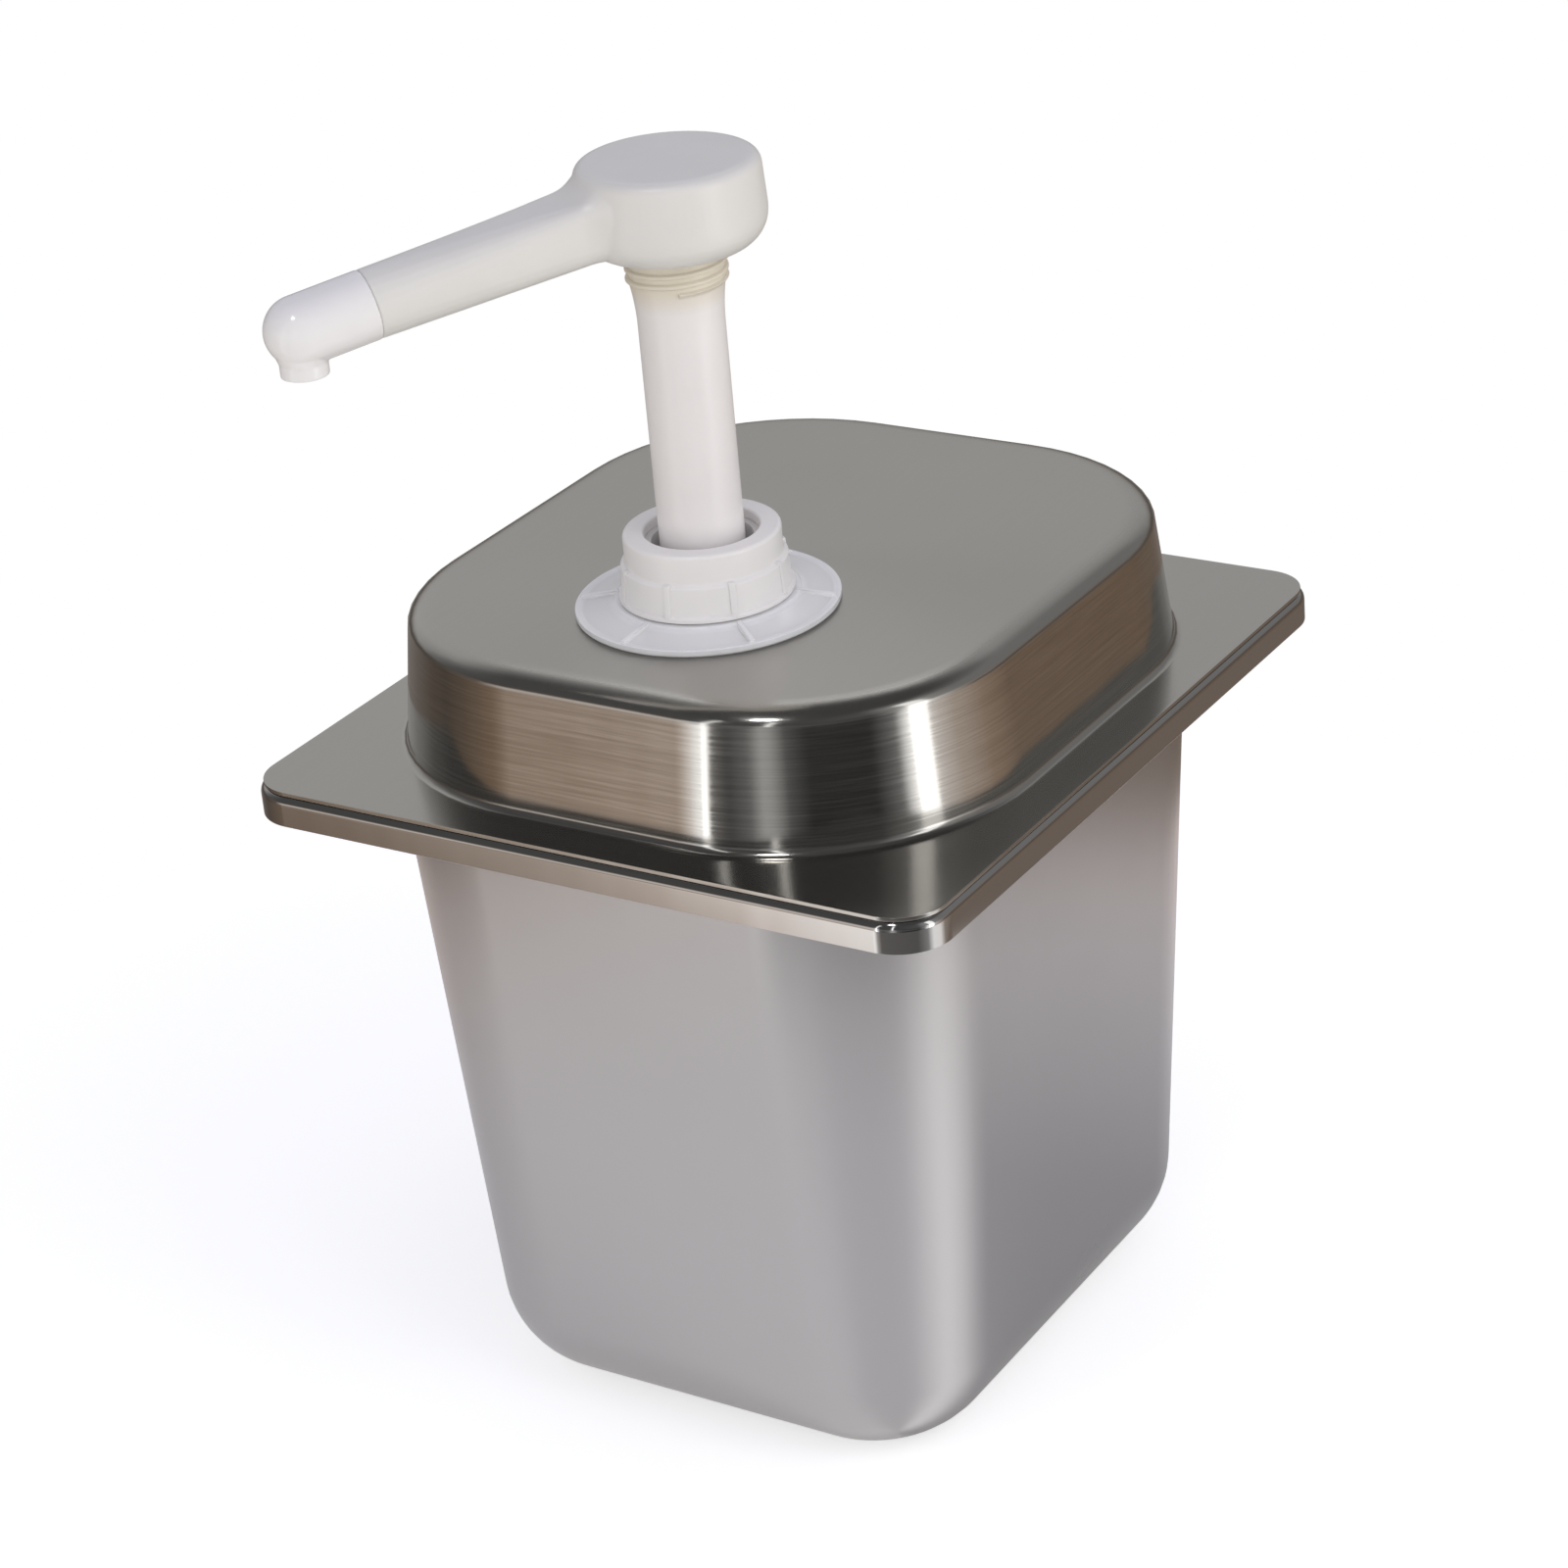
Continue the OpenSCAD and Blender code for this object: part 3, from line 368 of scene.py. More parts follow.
def end_piece(piece, smooth_deg=35):
    bpy.ops.mesh.select_all(action="SELECT")
    bpy.ops.mesh.remove_doubles(threshold=1e-7)
    bpy.ops.mesh.normals_make_consistent(inside=False)
    bpy.ops.object.mode_set(mode="OBJECT")
    bpy.ops.object.transform_apply(location=True, rotation=True, scale=True)
    bpy.ops.object.shade_smooth_by_angle(angle=math.radians(smooth_deg))
    return piece


def face_up(piece):
    # the drawn sheet's upper side is its outside, so that its thickness goes down from it
    widest = max(piece.data.polygons, key=lambda face: face.area if len(face.vertices) > 4 else 0)
    if widest.normal.z < 0:
        bpy.ops.object.mode_set(mode="EDIT")
        bpy.ops.mesh.select_all(action="SELECT")
        bpy.ops.mesh.flip_normals()
        bpy.ops.object.mode_set(mode="OBJECT")


def finish_with(piece, kind, **settings):
    modifier = piece.modifiers.new(kind.title(), kind)
    for name, value in settings.items():
        setattr(modifier, name, value)
    bpy.ops.object.select_all(action="DESELECT")
    piece.select_set(True)
    bpy.context.view_layer.objects.active = piece
    bpy.ops.object.modifier_apply(modifier=modifier.name)


def break_edges(piece, width, sharper_than_deg=40, segments=2):
    finish_with(piece, "BEVEL", width=width * mm, segments=segments, limit_method="ANGLE",
                angle_limit=math.radians(sharper_than_deg))


pan = start_piece("pan_shell")
sheet_ring(50.0, pan_sheet, 4.0, closed=True)
sheet_ring(44.5, pan_sheet, 5.5)
bend(floor_inset, pan_sheet + floor_bend, floor_bend, floor_bend, 270, 184, 14, 49.4)
bend(shoulder_inset, rim_top - shoulder_bend, shoulder_bend, shoulder_bend, 4, 90, 8, 49)
sheet_ring(6, rim_top, 24)
bend(rim_bend, rim_top - rim_bend, rim_bend, rim_bend, 90, 180, 8, rim_corner)
sheet_ring(0, rim_trim + pan_edge_break, rim_corner)
end_piece(pan)
face_up(pan)
finish_with(pan, "SOLIDIFY", thickness=pan_sheet * mm, offset=-1, use_even_offset=True)
break_edges(pan, pan_edge_break, 60)
finish_with(pan, "WEIGHTED_NORMAL", keep_sharp=True)


# Stainless steel, cold rolled, deep drawn and brushed. The lines run level round the walls,
# half a millimetre apart where they show, and pull every highlight up and down. The sheen
# goes by height, as (height in mm, roughness), because the dies polish the bent rims.
def brushed_steel(name, colour, sheens, anisotropy, line_gap, line_length, streak, depth, wave):
    material, tree = empty_material(name)
    place = node(tree, "ShaderNodeTexCoord").outputs["Object"]
    height = node(tree, "ShaderNodeSeparateXYZ", {0: place}).outputs["Z"]
    up = node(tree, "ShaderNodeSeparateXYZ", {
        0: node(tree, "ShaderNodeNewGeometry").outputs["Normal"]}).outputs["Z"]
    level = node(tree, "ShaderNodeMapRange", {
        "Value": up, "From Min": 0.20, "From Max": 0.50}).outputs["Result"]
    fine, long = 1 / (line_gap * mm), 1 / (line_length * mm)
    round_wall = node(tree, "ShaderNodeMapping", {
        "Vector": place, "Scale": (long, long, fine)}).outputs[0]
    along_top = node(tree, "ShaderNodeMapping", {
        "Vector": place, "Scale": (fine, long, long)}).outputs[0]
    lines_wall = node(tree, "ShaderNodeTexNoise", {
        "Vector": round_wall, "Scale": 1.0, "Detail": 2.0, "Roughness": 0.5}).outputs["Fac"]
    lines_top = node(tree, "ShaderNodeTexNoise", {
        "Vector": along_top, "Scale": 1.0, "Detail": 2.0, "Roughness": 0.5}).outputs["Fac"]
    # flat faces keep an eighth of the lines' contrast
    lines_top = node(tree, "ShaderNodeMath", {
        0: lines_top, 1: 0.12, 2: 0.44}, operation="MULTIPLY_ADD").outputs[0]
    lines = node(tree, "ShaderNodeMix", {
        "Factor": level, "A": lines_wall, "B": lines_top}, data_type="FLOAT").outputs["Result"]
    # Wiping and handling leave soft clouds 20 to 40 mm across in the sheen.
    clouds = node(tree, "ShaderNodeTexNoise", {
        "Vector": place, "Scale": 32.0, "Detail": 3.0}).outputs["Fac"]
    share = node(tree, "ShaderNodeMath", {0: height, 1: 5.0}, operation="MULTIPLY").outputs[0]
    sheen = node(tree, "ShaderNodeValToRGB", {0: share}, stops=[
        (h / 200, grey(r)) for h, r in sheens]).outputs[0]
    sheen = node(tree, "ShaderNodeMath", {
        0: lines, 1: streak, 2: sheen}, operation="MULTIPLY_ADD").outputs[0]
    sheen = node(tree, "ShaderNodeMath", {
        0: clouds, 1: 0.06, 2: sheen}, operation="MULTIPLY_ADD").outputs[0]
    shade = node(tree, "ShaderNodeMapRange", {
        "Value": lines, "From Min": 0.25, "From Max": 0.75,
        "To Min": 1 - 0.9 * streak, "To Max": 1 + 0.5 * streak}).outputs["Result"]
    tint = node(tree, "ShaderNodeMix", {
        "Factor": 1.0, "A": linear(colour), "B": shade}, data_type="RGBA", blend_type="MULTIPLY")
    # Drawing leaves the walls wavy by hundredths of a millimetre, with waves 15 mm wide.
    waves = node(tree, "ShaderNodeMapping", {
        "Vector": place, "Scale": (1 / (15 * mm), 1 / (15 * mm), 1 / (70 * mm))}).outputs[0]
    waves = node(tree, "ShaderNodeTexNoise", {
        "Vector": waves, "Scale": 1.0, "Detail": 1.0}).outputs["Fac"]
    upright = node(tree, "ShaderNodeMath", {0: 1.0, 1: level}, operation="SUBTRACT").outputs[0]
    wavy = node(tree, "ShaderNodeBump", {
        "Height": waves, "Strength": upright, "Distance": wave * mm}).outputs[0]
    bite = node(tree, "ShaderNodeMapRange", {
        "Value": level, "To Min": 0.5, "To Max": 0.0}).outputs["Result"]
    grooves = node(tree, "ShaderNodeBump", {
        "Height": lines, "Strength": bite, "Distance": depth * mm, "Normal": wavy}).outputs[0]
    steel = node(tree, "ShaderNodeBsdfPrincipled", {
        "Base Color": tint.outputs["Result"], "Metallic": 1.0, "Roughness": sheen,
        "Anisotropic": anisotropy, "Anisotropic Rotation": 0.25, "Normal": grooves}).outputs[0]
    node(tree, "ShaderNodeOutputMaterial", {"Surface": steel})
    return material


pan_steel = brushed_steel("brushed_stainless_pan", "#B0AFAE", [
    (0, 0.23), (138, 0.21), (143, 0.05), (151, 0.05)], 0.55, 0.5, 60, 0.010, 0.0002, 0.04)
pan.data.materials.append(pan_steel)
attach(pan, "pan")
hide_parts("pan")

# Lid. A pressed sheet of the same steel: a flange that lies on the pan's rim, a low
# polished wall and a flat satin top with one punched hole for the pump.
lid_sheet = 0.8
flange_top, dome_top = 151.8, 181.2
dome_corner = 61.2
dome_edge_wide, dome_edge_high = 6.5, 3.5
dome_foot = 1.8
pump_y = -29.4
hole_r = 15.8
lid = start_piece("lid_shell")
sheet_ring(34.0, dome_top, 27.2, closed=True)
sheet_ring(24.0, dome_top, 37.2)
bend(20.3, dome_top - dome_edge_high, dome_edge_wide, dome_edge_high, 90, 180, 12, dome_corner)
bend(9.2, flange_top + dome_foot, dome_foot, dome_foot, 0, -90, 8, dome_corner)
sheet_ring(5.0, flange_top, 36.0)
sheet_ring(1.6, flange_top, 11.0)
sheet_ring(0.8, flange_top, 10.2)
end_piece(lid)
face_up(lid)
finish_with(lid, "SOLIDIFY", thickness=lid_sheet * mm, offset=-1, use_even_offset=True)
bpy.ops.object.select_all(action="DESELECT")
bpy.ops.mesh.primitive_cylinder_add(vertices=128, radius=hole_r * mm, depth=4 * mm,
                                    location=(0, pump_y * mm, dome_top * mm))
punch = bpy.context.object
finish_with(lid, "BOOLEAN", object=punch, operation="DIFFERENCE", solver="EXACT")
bpy.data.objects.remove(punch)
break_edges(lid, 0.2, 60)
bpy.ops.object.shade_smooth_by_angle(angle=math.radians(35))
finish_with(lid, "WEIGHTED_NORMAL", keep_sharp=True)
lid_steel = brushed_steel("polished_stainless_lid", "#AFADA9", [
    (151, 0.05), (153, 0.04), (157, 0.02), (176, 0.03), (180.4, 0.06), (181.1, 0.21)],
    0.65, 0.45, 22, 0.16, 0.0013, 0.10)
lid.data.materials.append(lid_steel)
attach(lid, "lid_assembly")
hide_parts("lid")


# Mounting plate. Moulded disc of natural polypropylene with six ribs, the threaded neck for
# the collar and the spigot that goes through the lid; frosted and slightly see-through.
def turned(name, outline, steps=144):
    # spins a closed outline of (radius, height) about the pump's axis
    bpy.ops.object.select_all(action="DESELECT")
    start = Vector((outline[0][0] * mm, pump_y * mm, outline[0][1] * mm))
    bpy.ops.mesh.primitive_plane_add(size=mm, location=start)
    piece = bpy.context.object
    piece.name = name
    bpy.ops.object.mode_set(mode="EDIT")
    bpy.ops.mesh.select_mode(type="VERT")
    bpy.ops.mesh.select_all(action="SELECT")
    bpy.ops.mesh.merge(type="CENTER")
    for here, there in zip(outline, outline[1:] + outline[:1]):
        step = ((there[0] - here[0]) * mm, 0, (there[1] - here[1]) * mm)
        bpy.ops.mesh.extrude_region_move(TRANSFORM_OT_translate={"value": step})
    bpy.ops.mesh.select_all(action="SELECT")
    bpy.ops.mesh.spin(steps=steps, angle=2 * math.pi, center=(0, pump_y * mm, 0),
                      axis=(0, 0, 1))
    return end_piece(piece)


spigot_r, spigot_low = 15.5, 167.2
plate_r, plate_rim_r, groove_r, hub_r = 27.2, 26.2, 25.2, 19.5
plate_rim_top, groove_top, hub_edge, hub_top = 182.8, 182.5, 183.6, 184.2
neck_r, neck_bore, neck_top = 14.4, 12.85, 193.0
plate = turned("mounting_plate_moulding", [
    (neck_bore, spigot_low), (15.0, spigot_low), (spigot_r, 167.7), (spigot_r, dome_top),
    (26.7, dome_top), (plate_r, 181.7), (plate_r, plate_rim_top),
    (plate_rim_r, plate_rim_top), (groove_r, groove_top), (hub_r, hub_edge), (18.9, hub_top),
    (neck_r, hub_top), (neck_r, 192.6), (14.0, neck_top), (neck_bore, neck_top)])
rib_count, rib_first, rib_wide, rib_long, rib_high = 6, 22, 1.0, 8.0, 2.3
rib_out, rib_middle = 22.4, 183.25
for k in range(rib_count):
    a = math.radians(rib_first + 360 / rib_count * k)
    bpy.ops.object.select_all(action="DESELECT")
    bpy.ops.mesh.primitive_cube_add(size=1)
    rib = bpy.context.object
    bpy.ops.object.mode_set(mode="EDIT")
    bpy.ops.transform.resize(value=(rib_long * mm, rib_wide * mm, rib_high * mm),
                             center_override=(0, 0, 0))
    bpy.ops.transform.translate(value=(rib_out * mm, 0, rib_middle * mm))
    bpy.ops.object.mode_set(mode="OBJECT")
    for corner in rib.data.vertices:
        if corner.co.x > rib_out * mm and corner.co.z > rib_middle * mm:
            corner.co.z = rib_middle * mm
    rib.data.transform(Matrix.Translation((0, pump_y * mm, 0)) @ Matrix.Rotation(a, 4, "Z"))
    finish_with(plate, "BOOLEAN", object=rib, operation="UNION", solver="EXACT")
    bpy.data.objects.remove(rib)
bpy.ops.object.shade_smooth_by_angle(angle=math.radians(35))
break_edges(plate, 0.22)
finish_with(plate, "WEIGHTED_NORMAL", keep_sharp=True)


# Natural polypropylene, moulded and left without pigment: milky where it is thick, as in the
# ribs, the rim and the hub. Where it is thin more light passes through, and it is painted a
# little greyer there for the lid that shows through.
def natural_plastic(name, colour, thin_colour, roughness, clearness):
    material, tree = empty_material(name)
    place = node(tree, "ShaderNodeTexCoord").outputs["Object"]
    milk = node(tree, "ShaderNodeTexNoise", {
        "Vector": place, "Scale": 160.0, "Detail": 2.0}).outputs["Fac"]
    grain = node(tree, "ShaderNodeTexNoise", {
        "Vector": place, "Scale": 3500.0, "Detail": 1.0}).outputs["Fac"]
    dark = [c * 0.95 for c in linear(colour)[:3]] + [1]
    tint = node(tree, "ShaderNodeValToRGB", {0: milk}, stops=[
        (0.3, dark), (0.7, linear(colour))]).outputs[0]
    parts = node(tree, "ShaderNodeSeparateXYZ", {0: place}).outputs
    flat = node(tree, "ShaderNodeCombineXYZ", {0: parts["X"], 1: parts["Y"]}).outputs[0]
    out = node(tree, "ShaderNodeVectorMath", {
        0: flat, 1: (0, pump_y * mm, 0)}, operation="DISTANCE").outputs["Value"]
    # the disc falls from its hub to its rim, and the ribs stand out over that slope
    slope = (hub_edge - groove_top) / (groove_r - hub_r)
    over_disc = node(tree, "ShaderNodeMath", {
        0: out, 1: slope, 2: parts["Z"]}, operation="MULTIPLY_ADD").outputs[0]
    at_hub = (hub_edge + hub_r * slope) * mm
    rib = node(tree, "ShaderNodeMapRange", {
        "Value": over_disc, "From Min": at_hub + 0.1 * mm,
        "From Max": at_hub + 0.3 * mm}).outputs["Result"]
    rim = node(tree, "ShaderNodeMapRange", {
        "Value": out, "From Min": groove_r * mm, "From Max": plate_rim_r * mm}).outputs["Result"]
    hub = node(tree, "ShaderNodeMapRange", {
        "Value": out, "From Min": 20.5 * mm, "From Max": 19.3 * mm}).outputs["Result"]
    thick = node(tree, "ShaderNodeMath", {0: rim, 1: hub}, operation="MAXIMUM").outputs[0]
    thick = node(tree, "ShaderNodeMath", {0: thick, 1: rib}, operation="MAXIMUM").outputs[0]
    # painted grey where the disc is thin, for the lid showing through it
    tint = node(tree, "ShaderNodeMix", {
        "Factor": thick, "A": linear(thin_colour), "B": tint}, data_type="RGBA").outputs["Result"]
    through = node(tree, "ShaderNodeMapRange", {
        "Value": thick, "To Min": clearness, "To Max": 0.04}).outputs["Result"]
    sheen = node(tree, "ShaderNodeMapRange", {
        "Value": milk, "To Min": roughness - 0.04, "To Max": roughness + 0.04}).outputs["Result"]
    skin = node(tree, "ShaderNodeBump", {
        "Height": grain, "Strength": 0.1, "Distance": 0.02 * mm}).outputs[0]
    plastic = node(tree, "ShaderNodeBsdfPrincipled", {
        "Base Color": tint, "Roughness": sheen, "IOR": 1.49, "Transmission Weight": through,
        "Subsurface Weight": 0.35, "Subsurface Radius": (1.0, 0.95, 0.9),
        "Subsurface Scale": 2.5 * mm,
        "Coat Weight": 0.6, "Coat Roughness": 0.12, "Normal": skin}).outputs[0]
    node(tree, "ShaderNodeOutputMaterial", {"Surface": plastic})
    return material


frosted = natural_plastic("natural_polypropylene", "#FDFCFC", "#F6F5F4", 0.24, 0.10)
plate.data.materials.append(frosted)
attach(plate, "lid_assembly")
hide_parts("mounting_plate")


# White polypropylene. Moulded against a fine spark-eroded tool, so it is satin, with a
# grain of about 0.3 mm that only breaks the highlights, and a little light passes into it.
def white_plastic(name, colour, roughness, neck=None):
    material, tree = empty_material(name)
    place = node(tree, "ShaderNodeTexCoord").outputs["Object"]
    flow = node(tree, "ShaderNodeTexNoise", {
        "Vector": place, "Scale": 70.0, "Detail": 3.0}).outputs["Fac"]
    grain = node(tree, "ShaderNodeTexNoise", {
        "Vector": place, "Scale": 3300.0, "Detail": 2.0}).outputs["Fac"]
    dark = [c * 0.97 for c in linear(colour)[:3]] + [1]
    tint = node(tree, "ShaderNodeValToRGB", {0: flow}, stops=[
        (0.3, dark), (0.7, linear(colour))]).outputs[0]
    if neck:
        # painted shade: the neck and lock thread under the head get a darker beige for the head's
        # shade
        height = node(tree, "ShaderNodeSeparateXYZ", {0: place}).outputs["Z"]
        share = node(tree, "ShaderNodeMapRange", {
            "Value": height, "From Min": 0.246, "From Max": 0.251}).outputs["Result"]
        tint = node(tree, "ShaderNodeMix", {
            "Factor": share, "A": tint, "B": linear(neck)}, data_type="RGBA").outputs["Result"]
    sheen = node(tree, "ShaderNodeMapRange", {
        "Value": flow, "To Min": roughness - 0.05, "To Max": roughness + 0.05}).outputs["Result"]
    skin = node(tree, "ShaderNodeBump", {
        "Height": grain, "Strength": 0.12, "Distance": 0.02 * mm}).outputs[0]
    plastic = node(tree, "ShaderNodeBsdfPrincipled", {
        "Base Color": tint, "Roughness": sheen, "IOR": 1.49, "Subsurface Weight": 0.12,
        "Subsurface Radius": (1.0, 0.9, 0.8), "Subsurface Scale": 1.2 * mm,
        "Normal": skin}).outputs[0]
    node(tree, "ShaderNodeOutputMaterial", {"Surface": plastic})
    return material


white = white_plastic("white_polypropylene", "#E4E2DE", 0.34)

# Collar. White moulded screw cap: a foot ring, a skirt with eight grip ribs and a plain
# ring above it, screwed down on the plate's neck and clamping the cylinder's flange.
collar_low, collar_top, skirt_top = 184.5, 198.2, 191.6
foot_r, skirt_r, ring_r = 18.0, 17.1, 16.15
collar_bore, collar_mouth, collar_round = 14.5, 11.8, 0.8
top_edge = []
for k in range(5):
    a = math.radians(90 * k / 4)
    top_edge.append((ring_r - collar_round + collar_round * math.cos(a),
                     collar_top - collar_round + collar_round * math.sin(a)))
collar = turned("collar_moulding", [
    (collar_bore, collar_low), (foot_r, collar_low), (foot_r, 185.4), (17.4, 185.7),
    (skirt_r, skirt_top), (ring_r, 192.2)] + top_edge + [
    (12.1, collar_top), (collar_mouth, 197.9), (collar_mouth, 196.0), (collar_bore, 196.0)])
break_edges(collar, 0.15)
grip_count, grip_first = 8, 6
grip_deep, grip_wide, grip_high = 3.1, 1.4, 7.2
grip_out, grip_middle, grip_top_out = 16.4, 188.6, 17.35
grips = []
for k in range(grip_count):
    a = math.radians(grip_first + 360 / grip_count * k)
    bpy.ops.object.select_all(action="DESELECT")
    bpy.ops.mesh.primitive_cube_add(size=1)
    grip = bpy.context.object
    bpy.ops.object.mode_set(mode="EDIT")
    bpy.ops.transform.resize(value=(grip_deep * mm, grip_wide * mm, grip_high * mm),
                             center_override=(0, 0, 0))
    bpy.ops.transform.translate(value=(grip_out * mm, 0, grip_middle * mm))
    bpy.ops.object.mode_set(mode="OBJECT")
    for corner in grip.data.vertices:
        if corner.co.x > grip_out * mm and corner.co.z > grip_middle * mm:
            corner.co.x = grip_top_out * mm
    grip.data.transform(Matrix.Translation((0, pump_y * mm, 0)) @ Matrix.Rotation(a, 4, "Z"))
    break_edges(grip, 0.25)
    grips.append(grip)
bpy.ops.object.select_all(action="DESELECT")
for grip in grips:
    grip.select_set(True)
collar.select_set(True)
bpy.context.view_layer.objects.active = collar
bpy.ops.object.join()
bpy.ops.object.shade_smooth_by_angle(angle=math.radians(35))
finish_with(collar, "WEIGHTED_NORMAL", keep_sharp=True)
# The collar's white is painted lighter than the head's, for the light it loses low down beside the
# dark lid.
collar_white = white_plastic("white_polypropylene_collar", "#F4F1EF", 0.30)
collar.data.materials.append(collar_white)
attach(collar, "lid_assembly")
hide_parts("collar")

# Stem. Hollow white tube that the head pushes down; it flares to the lock-down neck under
# the head, whose thread screws into the guide when the pump is locked for transport.
stem_r, stem_bore, foot_narrower, foot_high = 8.7, 4.6, 1.5, 173.1
lock_r, thread_deep = 10.3, 0.65
lock_low, head_low = 251.2, 256.8
plug_r, plug_long = 7.0, 9.7
flare_long = 9.4
core_r = lock_r - thread_deep
flare_out = core_r - stem_r
bow = (flare_long ** 2 + flare_out ** 2) / (2 * flare_out)
flare = []
flare_steps = 12
for k in range(flare_steps + 1):
    up = flare_long * k / flare_steps
    flare.append((stem_r + bow - math.sqrt(bow ** 2 - up ** 2), lock_low - flare_long + up))
stem_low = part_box("stem")[0].z / mm
stem = turned("stem_tube", [
    (stem_bore, stem_low), (stem_r - foot_narrower, stem_low),
    (stem_r - foot_narrower, foot_high), (stem_r, foot_high)] + flare + [
    (core_r, head_low), (plug_r, head_low), (plug_r, head_low + plug_long),
    (stem_bore, head_low + plug_long)])
break_edges(stem, 0.12)

# The thread is one rounded ridge that starts at the front and climbs to the head.
ridge_pitch, ridge_base, ridge_crest = 2.05, 1.45, 0.6
ridge_low = 250.3
ridge_steps = 72
ridge_turns = (head_low - 0.9 - ridge_low) / ridge_pitch
bpy.ops.object.select_all(action="DESELECT")
bpy.ops.mesh.primitive_plane_add(size=1, rotation=(math.pi / 2, 0, 0))
ridge = bpy.context.object
ridge.name = "lock_thread"
bpy.ops.object.transform_apply(location=True, rotation=True, scale=True)
for corner in ridge.data.vertices:
    outside = corner.co.x > 0
    half = (ridge_crest if outside else ridge_base) / 2
    corner.co.x = (core_r + thread_deep if outside else core_r - 0.3) * mm
    corner.co.z = math.copysign(half, corner.co.z) * mm
finish_with(ridge, "SCREW", axis="Z", angle=2 * math.pi * ridge_turns,
            screw_offset=ridge_pitch * ridge_turns * mm, steps=int(ridge_steps * ridge_turns),
            render_steps=int(ridge_steps * ridge_turns), iterations=1)
front = math.atan2(camera_place[1] - pump_y * mm, camera_place[0])
fade = math.radians(50)
climb = ridge_pitch * mm / (2 * math.pi)
for corner in ridge.data.vertices:
    turned_by = max(0.0, corner.co.z / climb)
    share = min(1.0, turned_by / fade, (2 * math.pi * ridge_turns - turned_by) / fade + 0.2)
    out = math.hypot(corner.co.x, corner.co.y)
    if out > core_r * mm:
        scale = (core_r - 0.1 + (thread_deep + 0.1) * max(0.0, share)) * mm / out
        corner.co.x *= scale
        corner.co.y *= scale
ridge.data.transform(Matrix.Translation((0, pump_y * mm, ridge_low * mm))
                     @ Matrix.Rotation(front, 4, "Z"))
bpy.ops.object.mode_set(mode="EDIT")
bpy.ops.mesh.select_all(action="SELECT")
bpy.ops.mesh.remove_doubles(threshold=1e-7)
bpy.ops.mesh.normals_make_consistent(inside=False)
bpy.ops.object.mode_set(mode="OBJECT")
break_edges(ridge, 0.16, 25, segments=3)
bpy.ops.object.shade_smooth_by_angle(angle=math.radians(60))
stem.select_set(True)
bpy.context.view_layer.objects.active = stem
bpy.ops.object.join()
finish_with(stem, "WEIGHTED_NORMAL", keep_sharp=True)
# the stem's darker beige neck is painted shade under the head
stem_white = white_plastic("white_polypropylene_stem", "#F0ECEB", 0.32, "#E2DACA")
stem.data.materials.append(stem_white)
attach(stem, "actuator")
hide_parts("stem")


# Head. White moulded push head: a thick disc with a rounded underside, and a flat-topped
# spout that runs out of it with soft fillets and falls towards its tip.
def copy_of(name, source):
    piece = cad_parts[source].copy()
    piece.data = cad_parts[source].data.copy()
    piece.name = name
    for key in list(piece.keys()):
        del piece[key]
    piece.parent = None
    piece.hide_render = False
    piece.hide_viewport = False
    bpy.context.scene.collection.objects.link(piece)
    piece.data.materials.clear()
    bpy.ops.object.select_all(action="DESELECT")
    piece.select_set(True)
    bpy.context.view_layer.objects.active = piece
    bpy.ops.object.mode_set(mode="EDIT")
    bpy.ops.mesh.select_mode(type="VERT")
    bpy.ops.mesh.select_all(action="SELECT")
    bpy.ops.mesh.remove_doubles(threshold=1e-6)
    bpy.ops.mesh.normals_make_consistent(inside=False)
    bpy.ops.object.mode_set(mode="OBJECT")
    return piece


head = copy_of("push_head", "head")
finish_with(head, "REMESH", mode="VOXEL", voxel_size=0.34 * mm, use_smooth_shade=True)
finish_with(head, "SMOOTH", factor=0.5, iterations=5)
head.data.materials.append(white)
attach(head, "actuator")
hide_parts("head")

# Tip. Separate white elbow pushed on the spout's end, with its mouth straight down. Its
# mould is polished, so it is glossier than the head.
tip = copy_of("nozzle_elbow", "nozzle_tip")
finish_with(tip, "REMESH", mode="VOXEL", voxel_size=0.20 * mm, use_smooth_shade=True)
finish_with(tip, "SMOOTH", factor=0.5, iterations=10)
tip_white = white_plastic("white_polypropylene_tip", "#F1EFEF", 0.16)
tip.data.materials.append(tip_white)
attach(tip, "actuator")
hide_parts("nozzle_tip")


# Inside parts. The solids are the real shapes, so they stay, with their own finishes and
# their moulded edges just broken.
def edge_broken(source, width):
    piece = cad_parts[source]
    weld = piece.modifiers.new("Weld", "WELD")
    weld.merge_threshold = 1e-6
    edges = piece.modifiers.new("Bevel", "BEVEL")
    edges.width = width * mm
    edges.segments = 2
    edges.limit_method = "ANGLE"
    edges.angle_limit = math.radians(40)
    return piece


def dress(source, material):
    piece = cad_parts[source]
    piece.data.materials.clear()
    piece.data.materials.append(material)
    return piece


for name in ("housing", "lid_nut", "stem_guide", "spring_seat", "piston", "outlet_ball_stop"):
    dress(name, white)
    edge_broken(name, 0.2)
dress("dip_tube", frosted)
edge_broken("dip_tube", 0.15)


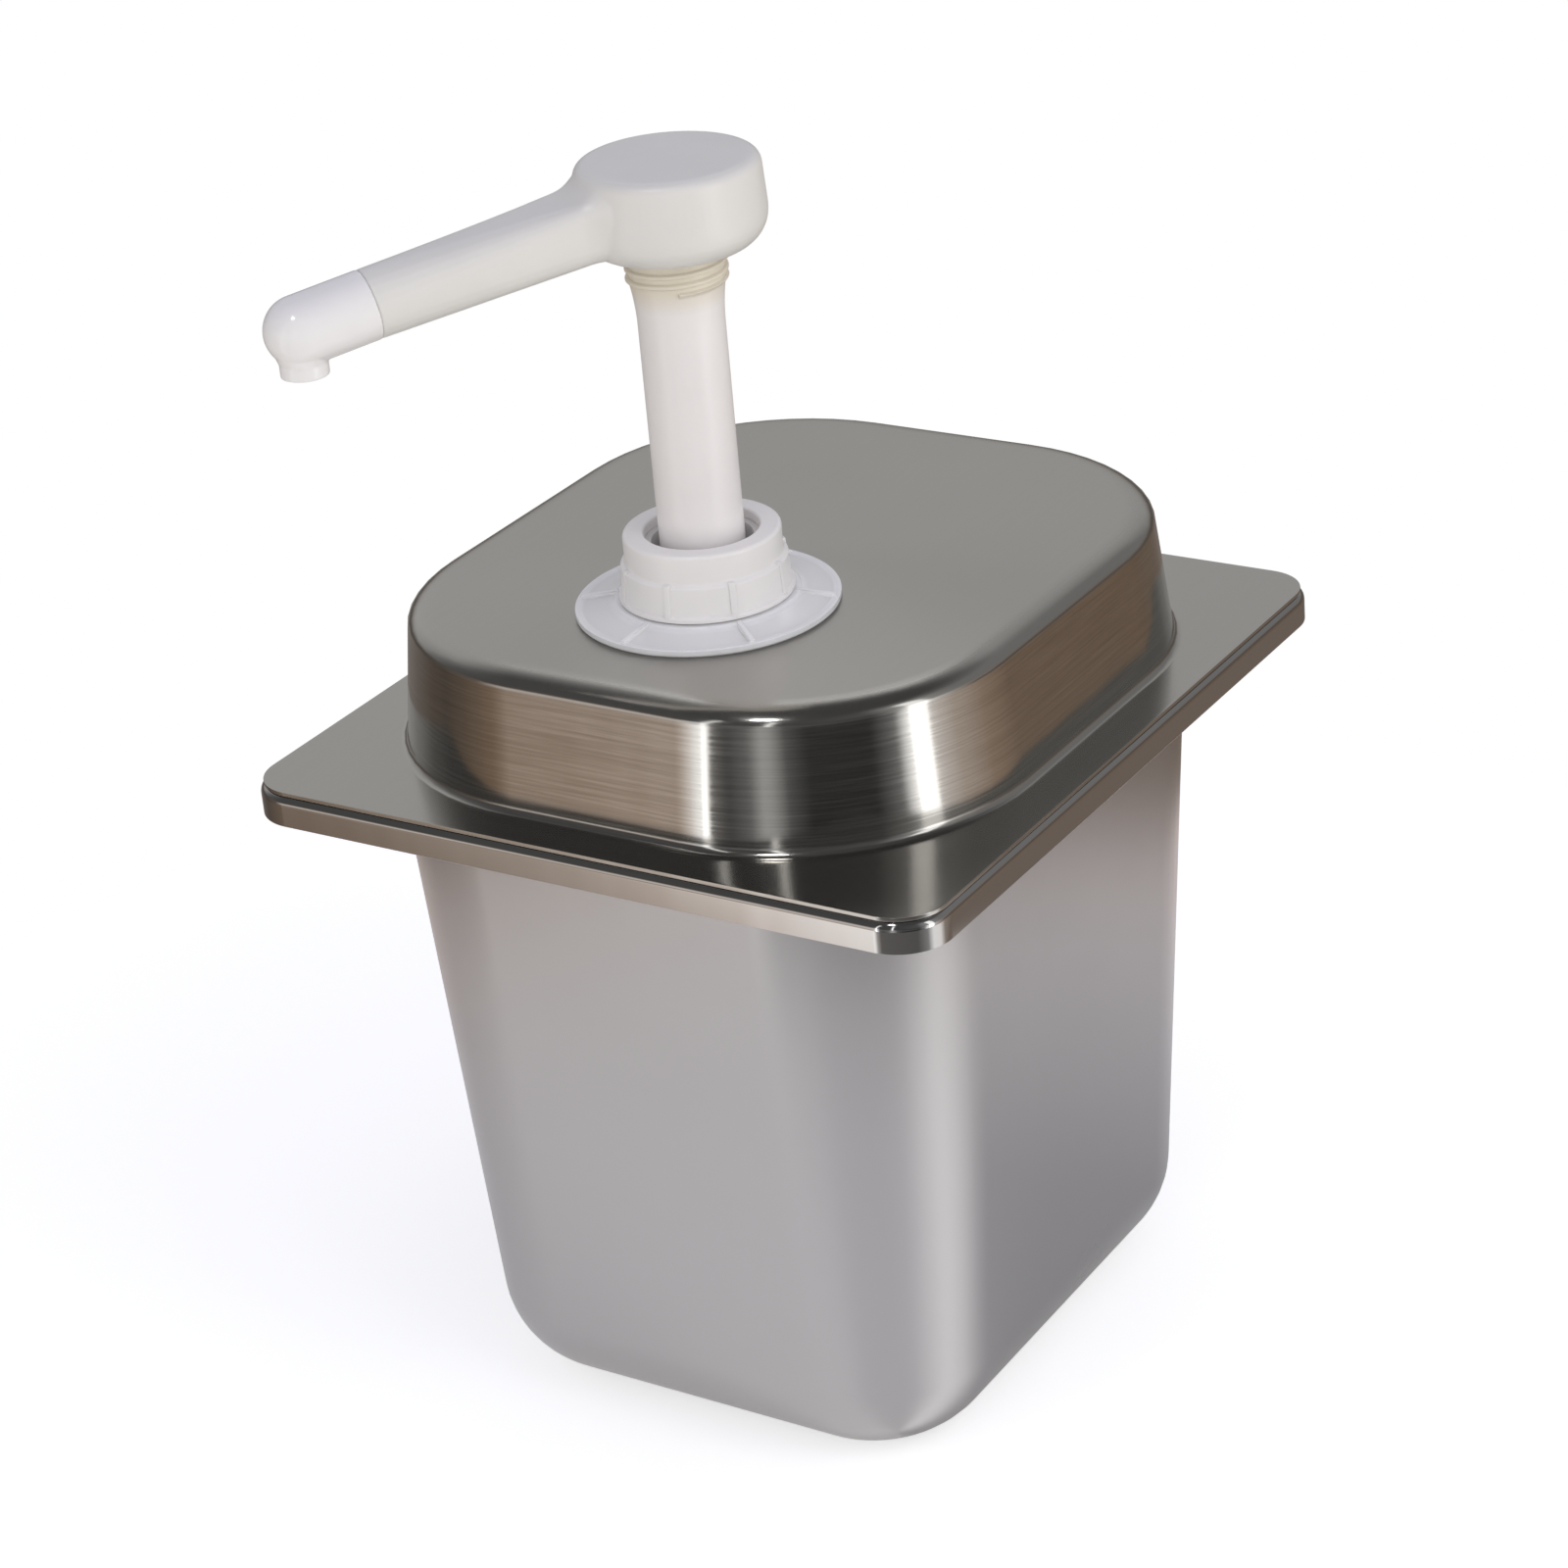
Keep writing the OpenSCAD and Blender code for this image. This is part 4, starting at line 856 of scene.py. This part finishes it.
# EPDM rubber, cut or moulded: matt black with a dusty bloom.
def rubber(name, colour, roughness):
    material, tree = empty_material(name)
    place = node(tree, "ShaderNodeTexCoord").outputs["Object"]
    bloom = node(tree, "ShaderNodeTexNoise", {
        "Vector": place, "Scale": 260.0, "Detail": 4.0}).outputs["Fac"]
    grit = node(tree, "ShaderNodeTexNoise", {
        "Vector": place, "Scale": 2600.0, "Detail": 2.0}).outputs["Fac"]
    dusty = [c * 1.5 for c in linear(colour)[:3]] + [1]
    tint = node(tree, "ShaderNodeValToRGB", {0: bloom}, stops=[
        (0.3, linear(colour)), (0.75, dusty)]).outputs[0]
    sheen = node(tree, "ShaderNodeMapRange", {
        "Value": bloom, "To Min": roughness - 0.08, "To Max": roughness + 0.08}).outputs["Result"]
    skin = node(tree, "ShaderNodeBump", {
        "Height": grit, "Strength": 0.3, "Distance": 0.03 * mm}).outputs[0]
    face = node(tree, "ShaderNodeBsdfPrincipled", {
        "Base Color": tint, "Roughness": sheen, "IOR": 1.52, "Normal": skin}).outputs[0]
    node(tree, "ShaderNodeOutputMaterial", {"Surface": face})
    return material


seal = rubber("black_epdm_rubber", "#262626", 0.7)
for name in ("lid_gasket", "neck_gasket", "stem_seal", "piston_ring"):
    dress(name, seal)
    edge_broken(name, 0.1)


# Stainless spring wire and ball steel. The wire is drawn, so it keeps faint lines along
# its length; the balls are lapped to a mirror.
def drawn_metal(name, colour, roughness, scale, depth):
    material, tree = empty_material(name)
    place = node(tree, "ShaderNodeTexCoord").outputs["Object"]
    marks = node(tree, "ShaderNodeTexNoise", {
        "Vector": place, "Scale": scale, "Detail": 3.0}).outputs["Fac"]
    sheen = node(tree, "ShaderNodeMapRange", {
        "Value": marks, "To Min": roughness * 0.7, "To Max": roughness * 1.3}).outputs["Result"]
    skin = node(tree, "ShaderNodeBump", {
        "Height": marks, "Strength": 0.2, "Distance": depth * mm}).outputs[0]
    face = node(tree, "ShaderNodeBsdfPrincipled", {
        "Base Color": linear(colour), "Metallic": 1.0, "Roughness": sheen,
        "Normal": skin}).outputs[0]
    node(tree, "ShaderNodeOutputMaterial", {"Surface": face})
    return material


wire_steel = drawn_metal("drawn_spring_wire", "#A9A7A4", 0.30, 2500.0, 0.01)
ball_steel = drawn_metal("lapped_ball_steel", "#BDBBB8", 0.08, 600.0, 0.002)
for name in ("inlet_ball", "outlet_ball"):
    dress(name, ball_steel)

# Return spring. Stainless wire of 1.2 mm wound in 12 turns, with a closed turn at each end,
# from its seat up to the piston. It shortens from 82 mm to 24 mm when the pump is pressed.
wire, wound_r, turns, tight_pitch = 1.2, 8.7, 12, 1.7
spring_low, spring_high = 79.15, 159.55
open_pitch = (spring_high - spring_low - 2 * tight_pitch) / (turns - 2)
even_pitch = 6.0
bpy.ops.object.select_all(action="DESELECT")
bpy.ops.mesh.primitive_circle_add(vertices=12, radius=wire / 2 * mm, fill_type="NOTHING",
                                  location=(wound_r * mm, 0, 0),
                                  rotation=(math.pi / 2, 0, 0))
spring = bpy.context.object
spring.name = "spring_coil"
bpy.ops.object.transform_apply(location=True, rotation=True, scale=True)
finish_with(spring, "SCREW", axis="Z", angle=2 * math.pi, screw_offset=even_pitch * mm,
            iterations=turns, steps=48, render_steps=48)
for corner in spring.data.vertices:
    part_turn = math.atan2(corner.co.y, corner.co.x) / (2 * math.pi)
    turn = part_turn + round(corner.co.z / (even_pitch * mm) - part_turn)
    open_turns = max(0, min(turn, turns - 1) - 1)
    tight_turns = min(turn, 1) + max(0, turn - turns + 1)
    rise = open_pitch * open_turns + tight_pitch * tight_turns
    corner.co.z += (rise - even_pitch * turn) * mm
spring.data.transform(Matrix.Translation((0, pump_y * mm, spring_low * mm)))
bpy.ops.object.mode_set(mode="EDIT")
bpy.ops.mesh.select_all(action="SELECT")
bpy.ops.mesh.remove_doubles(threshold=1e-7)
bpy.ops.mesh.fill_holes(sides=12)
end_piece(spring)
spring.data.materials.append(wire_steel)
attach(spring, "lid_assembly")
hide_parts("return_spring")
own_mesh(spring)
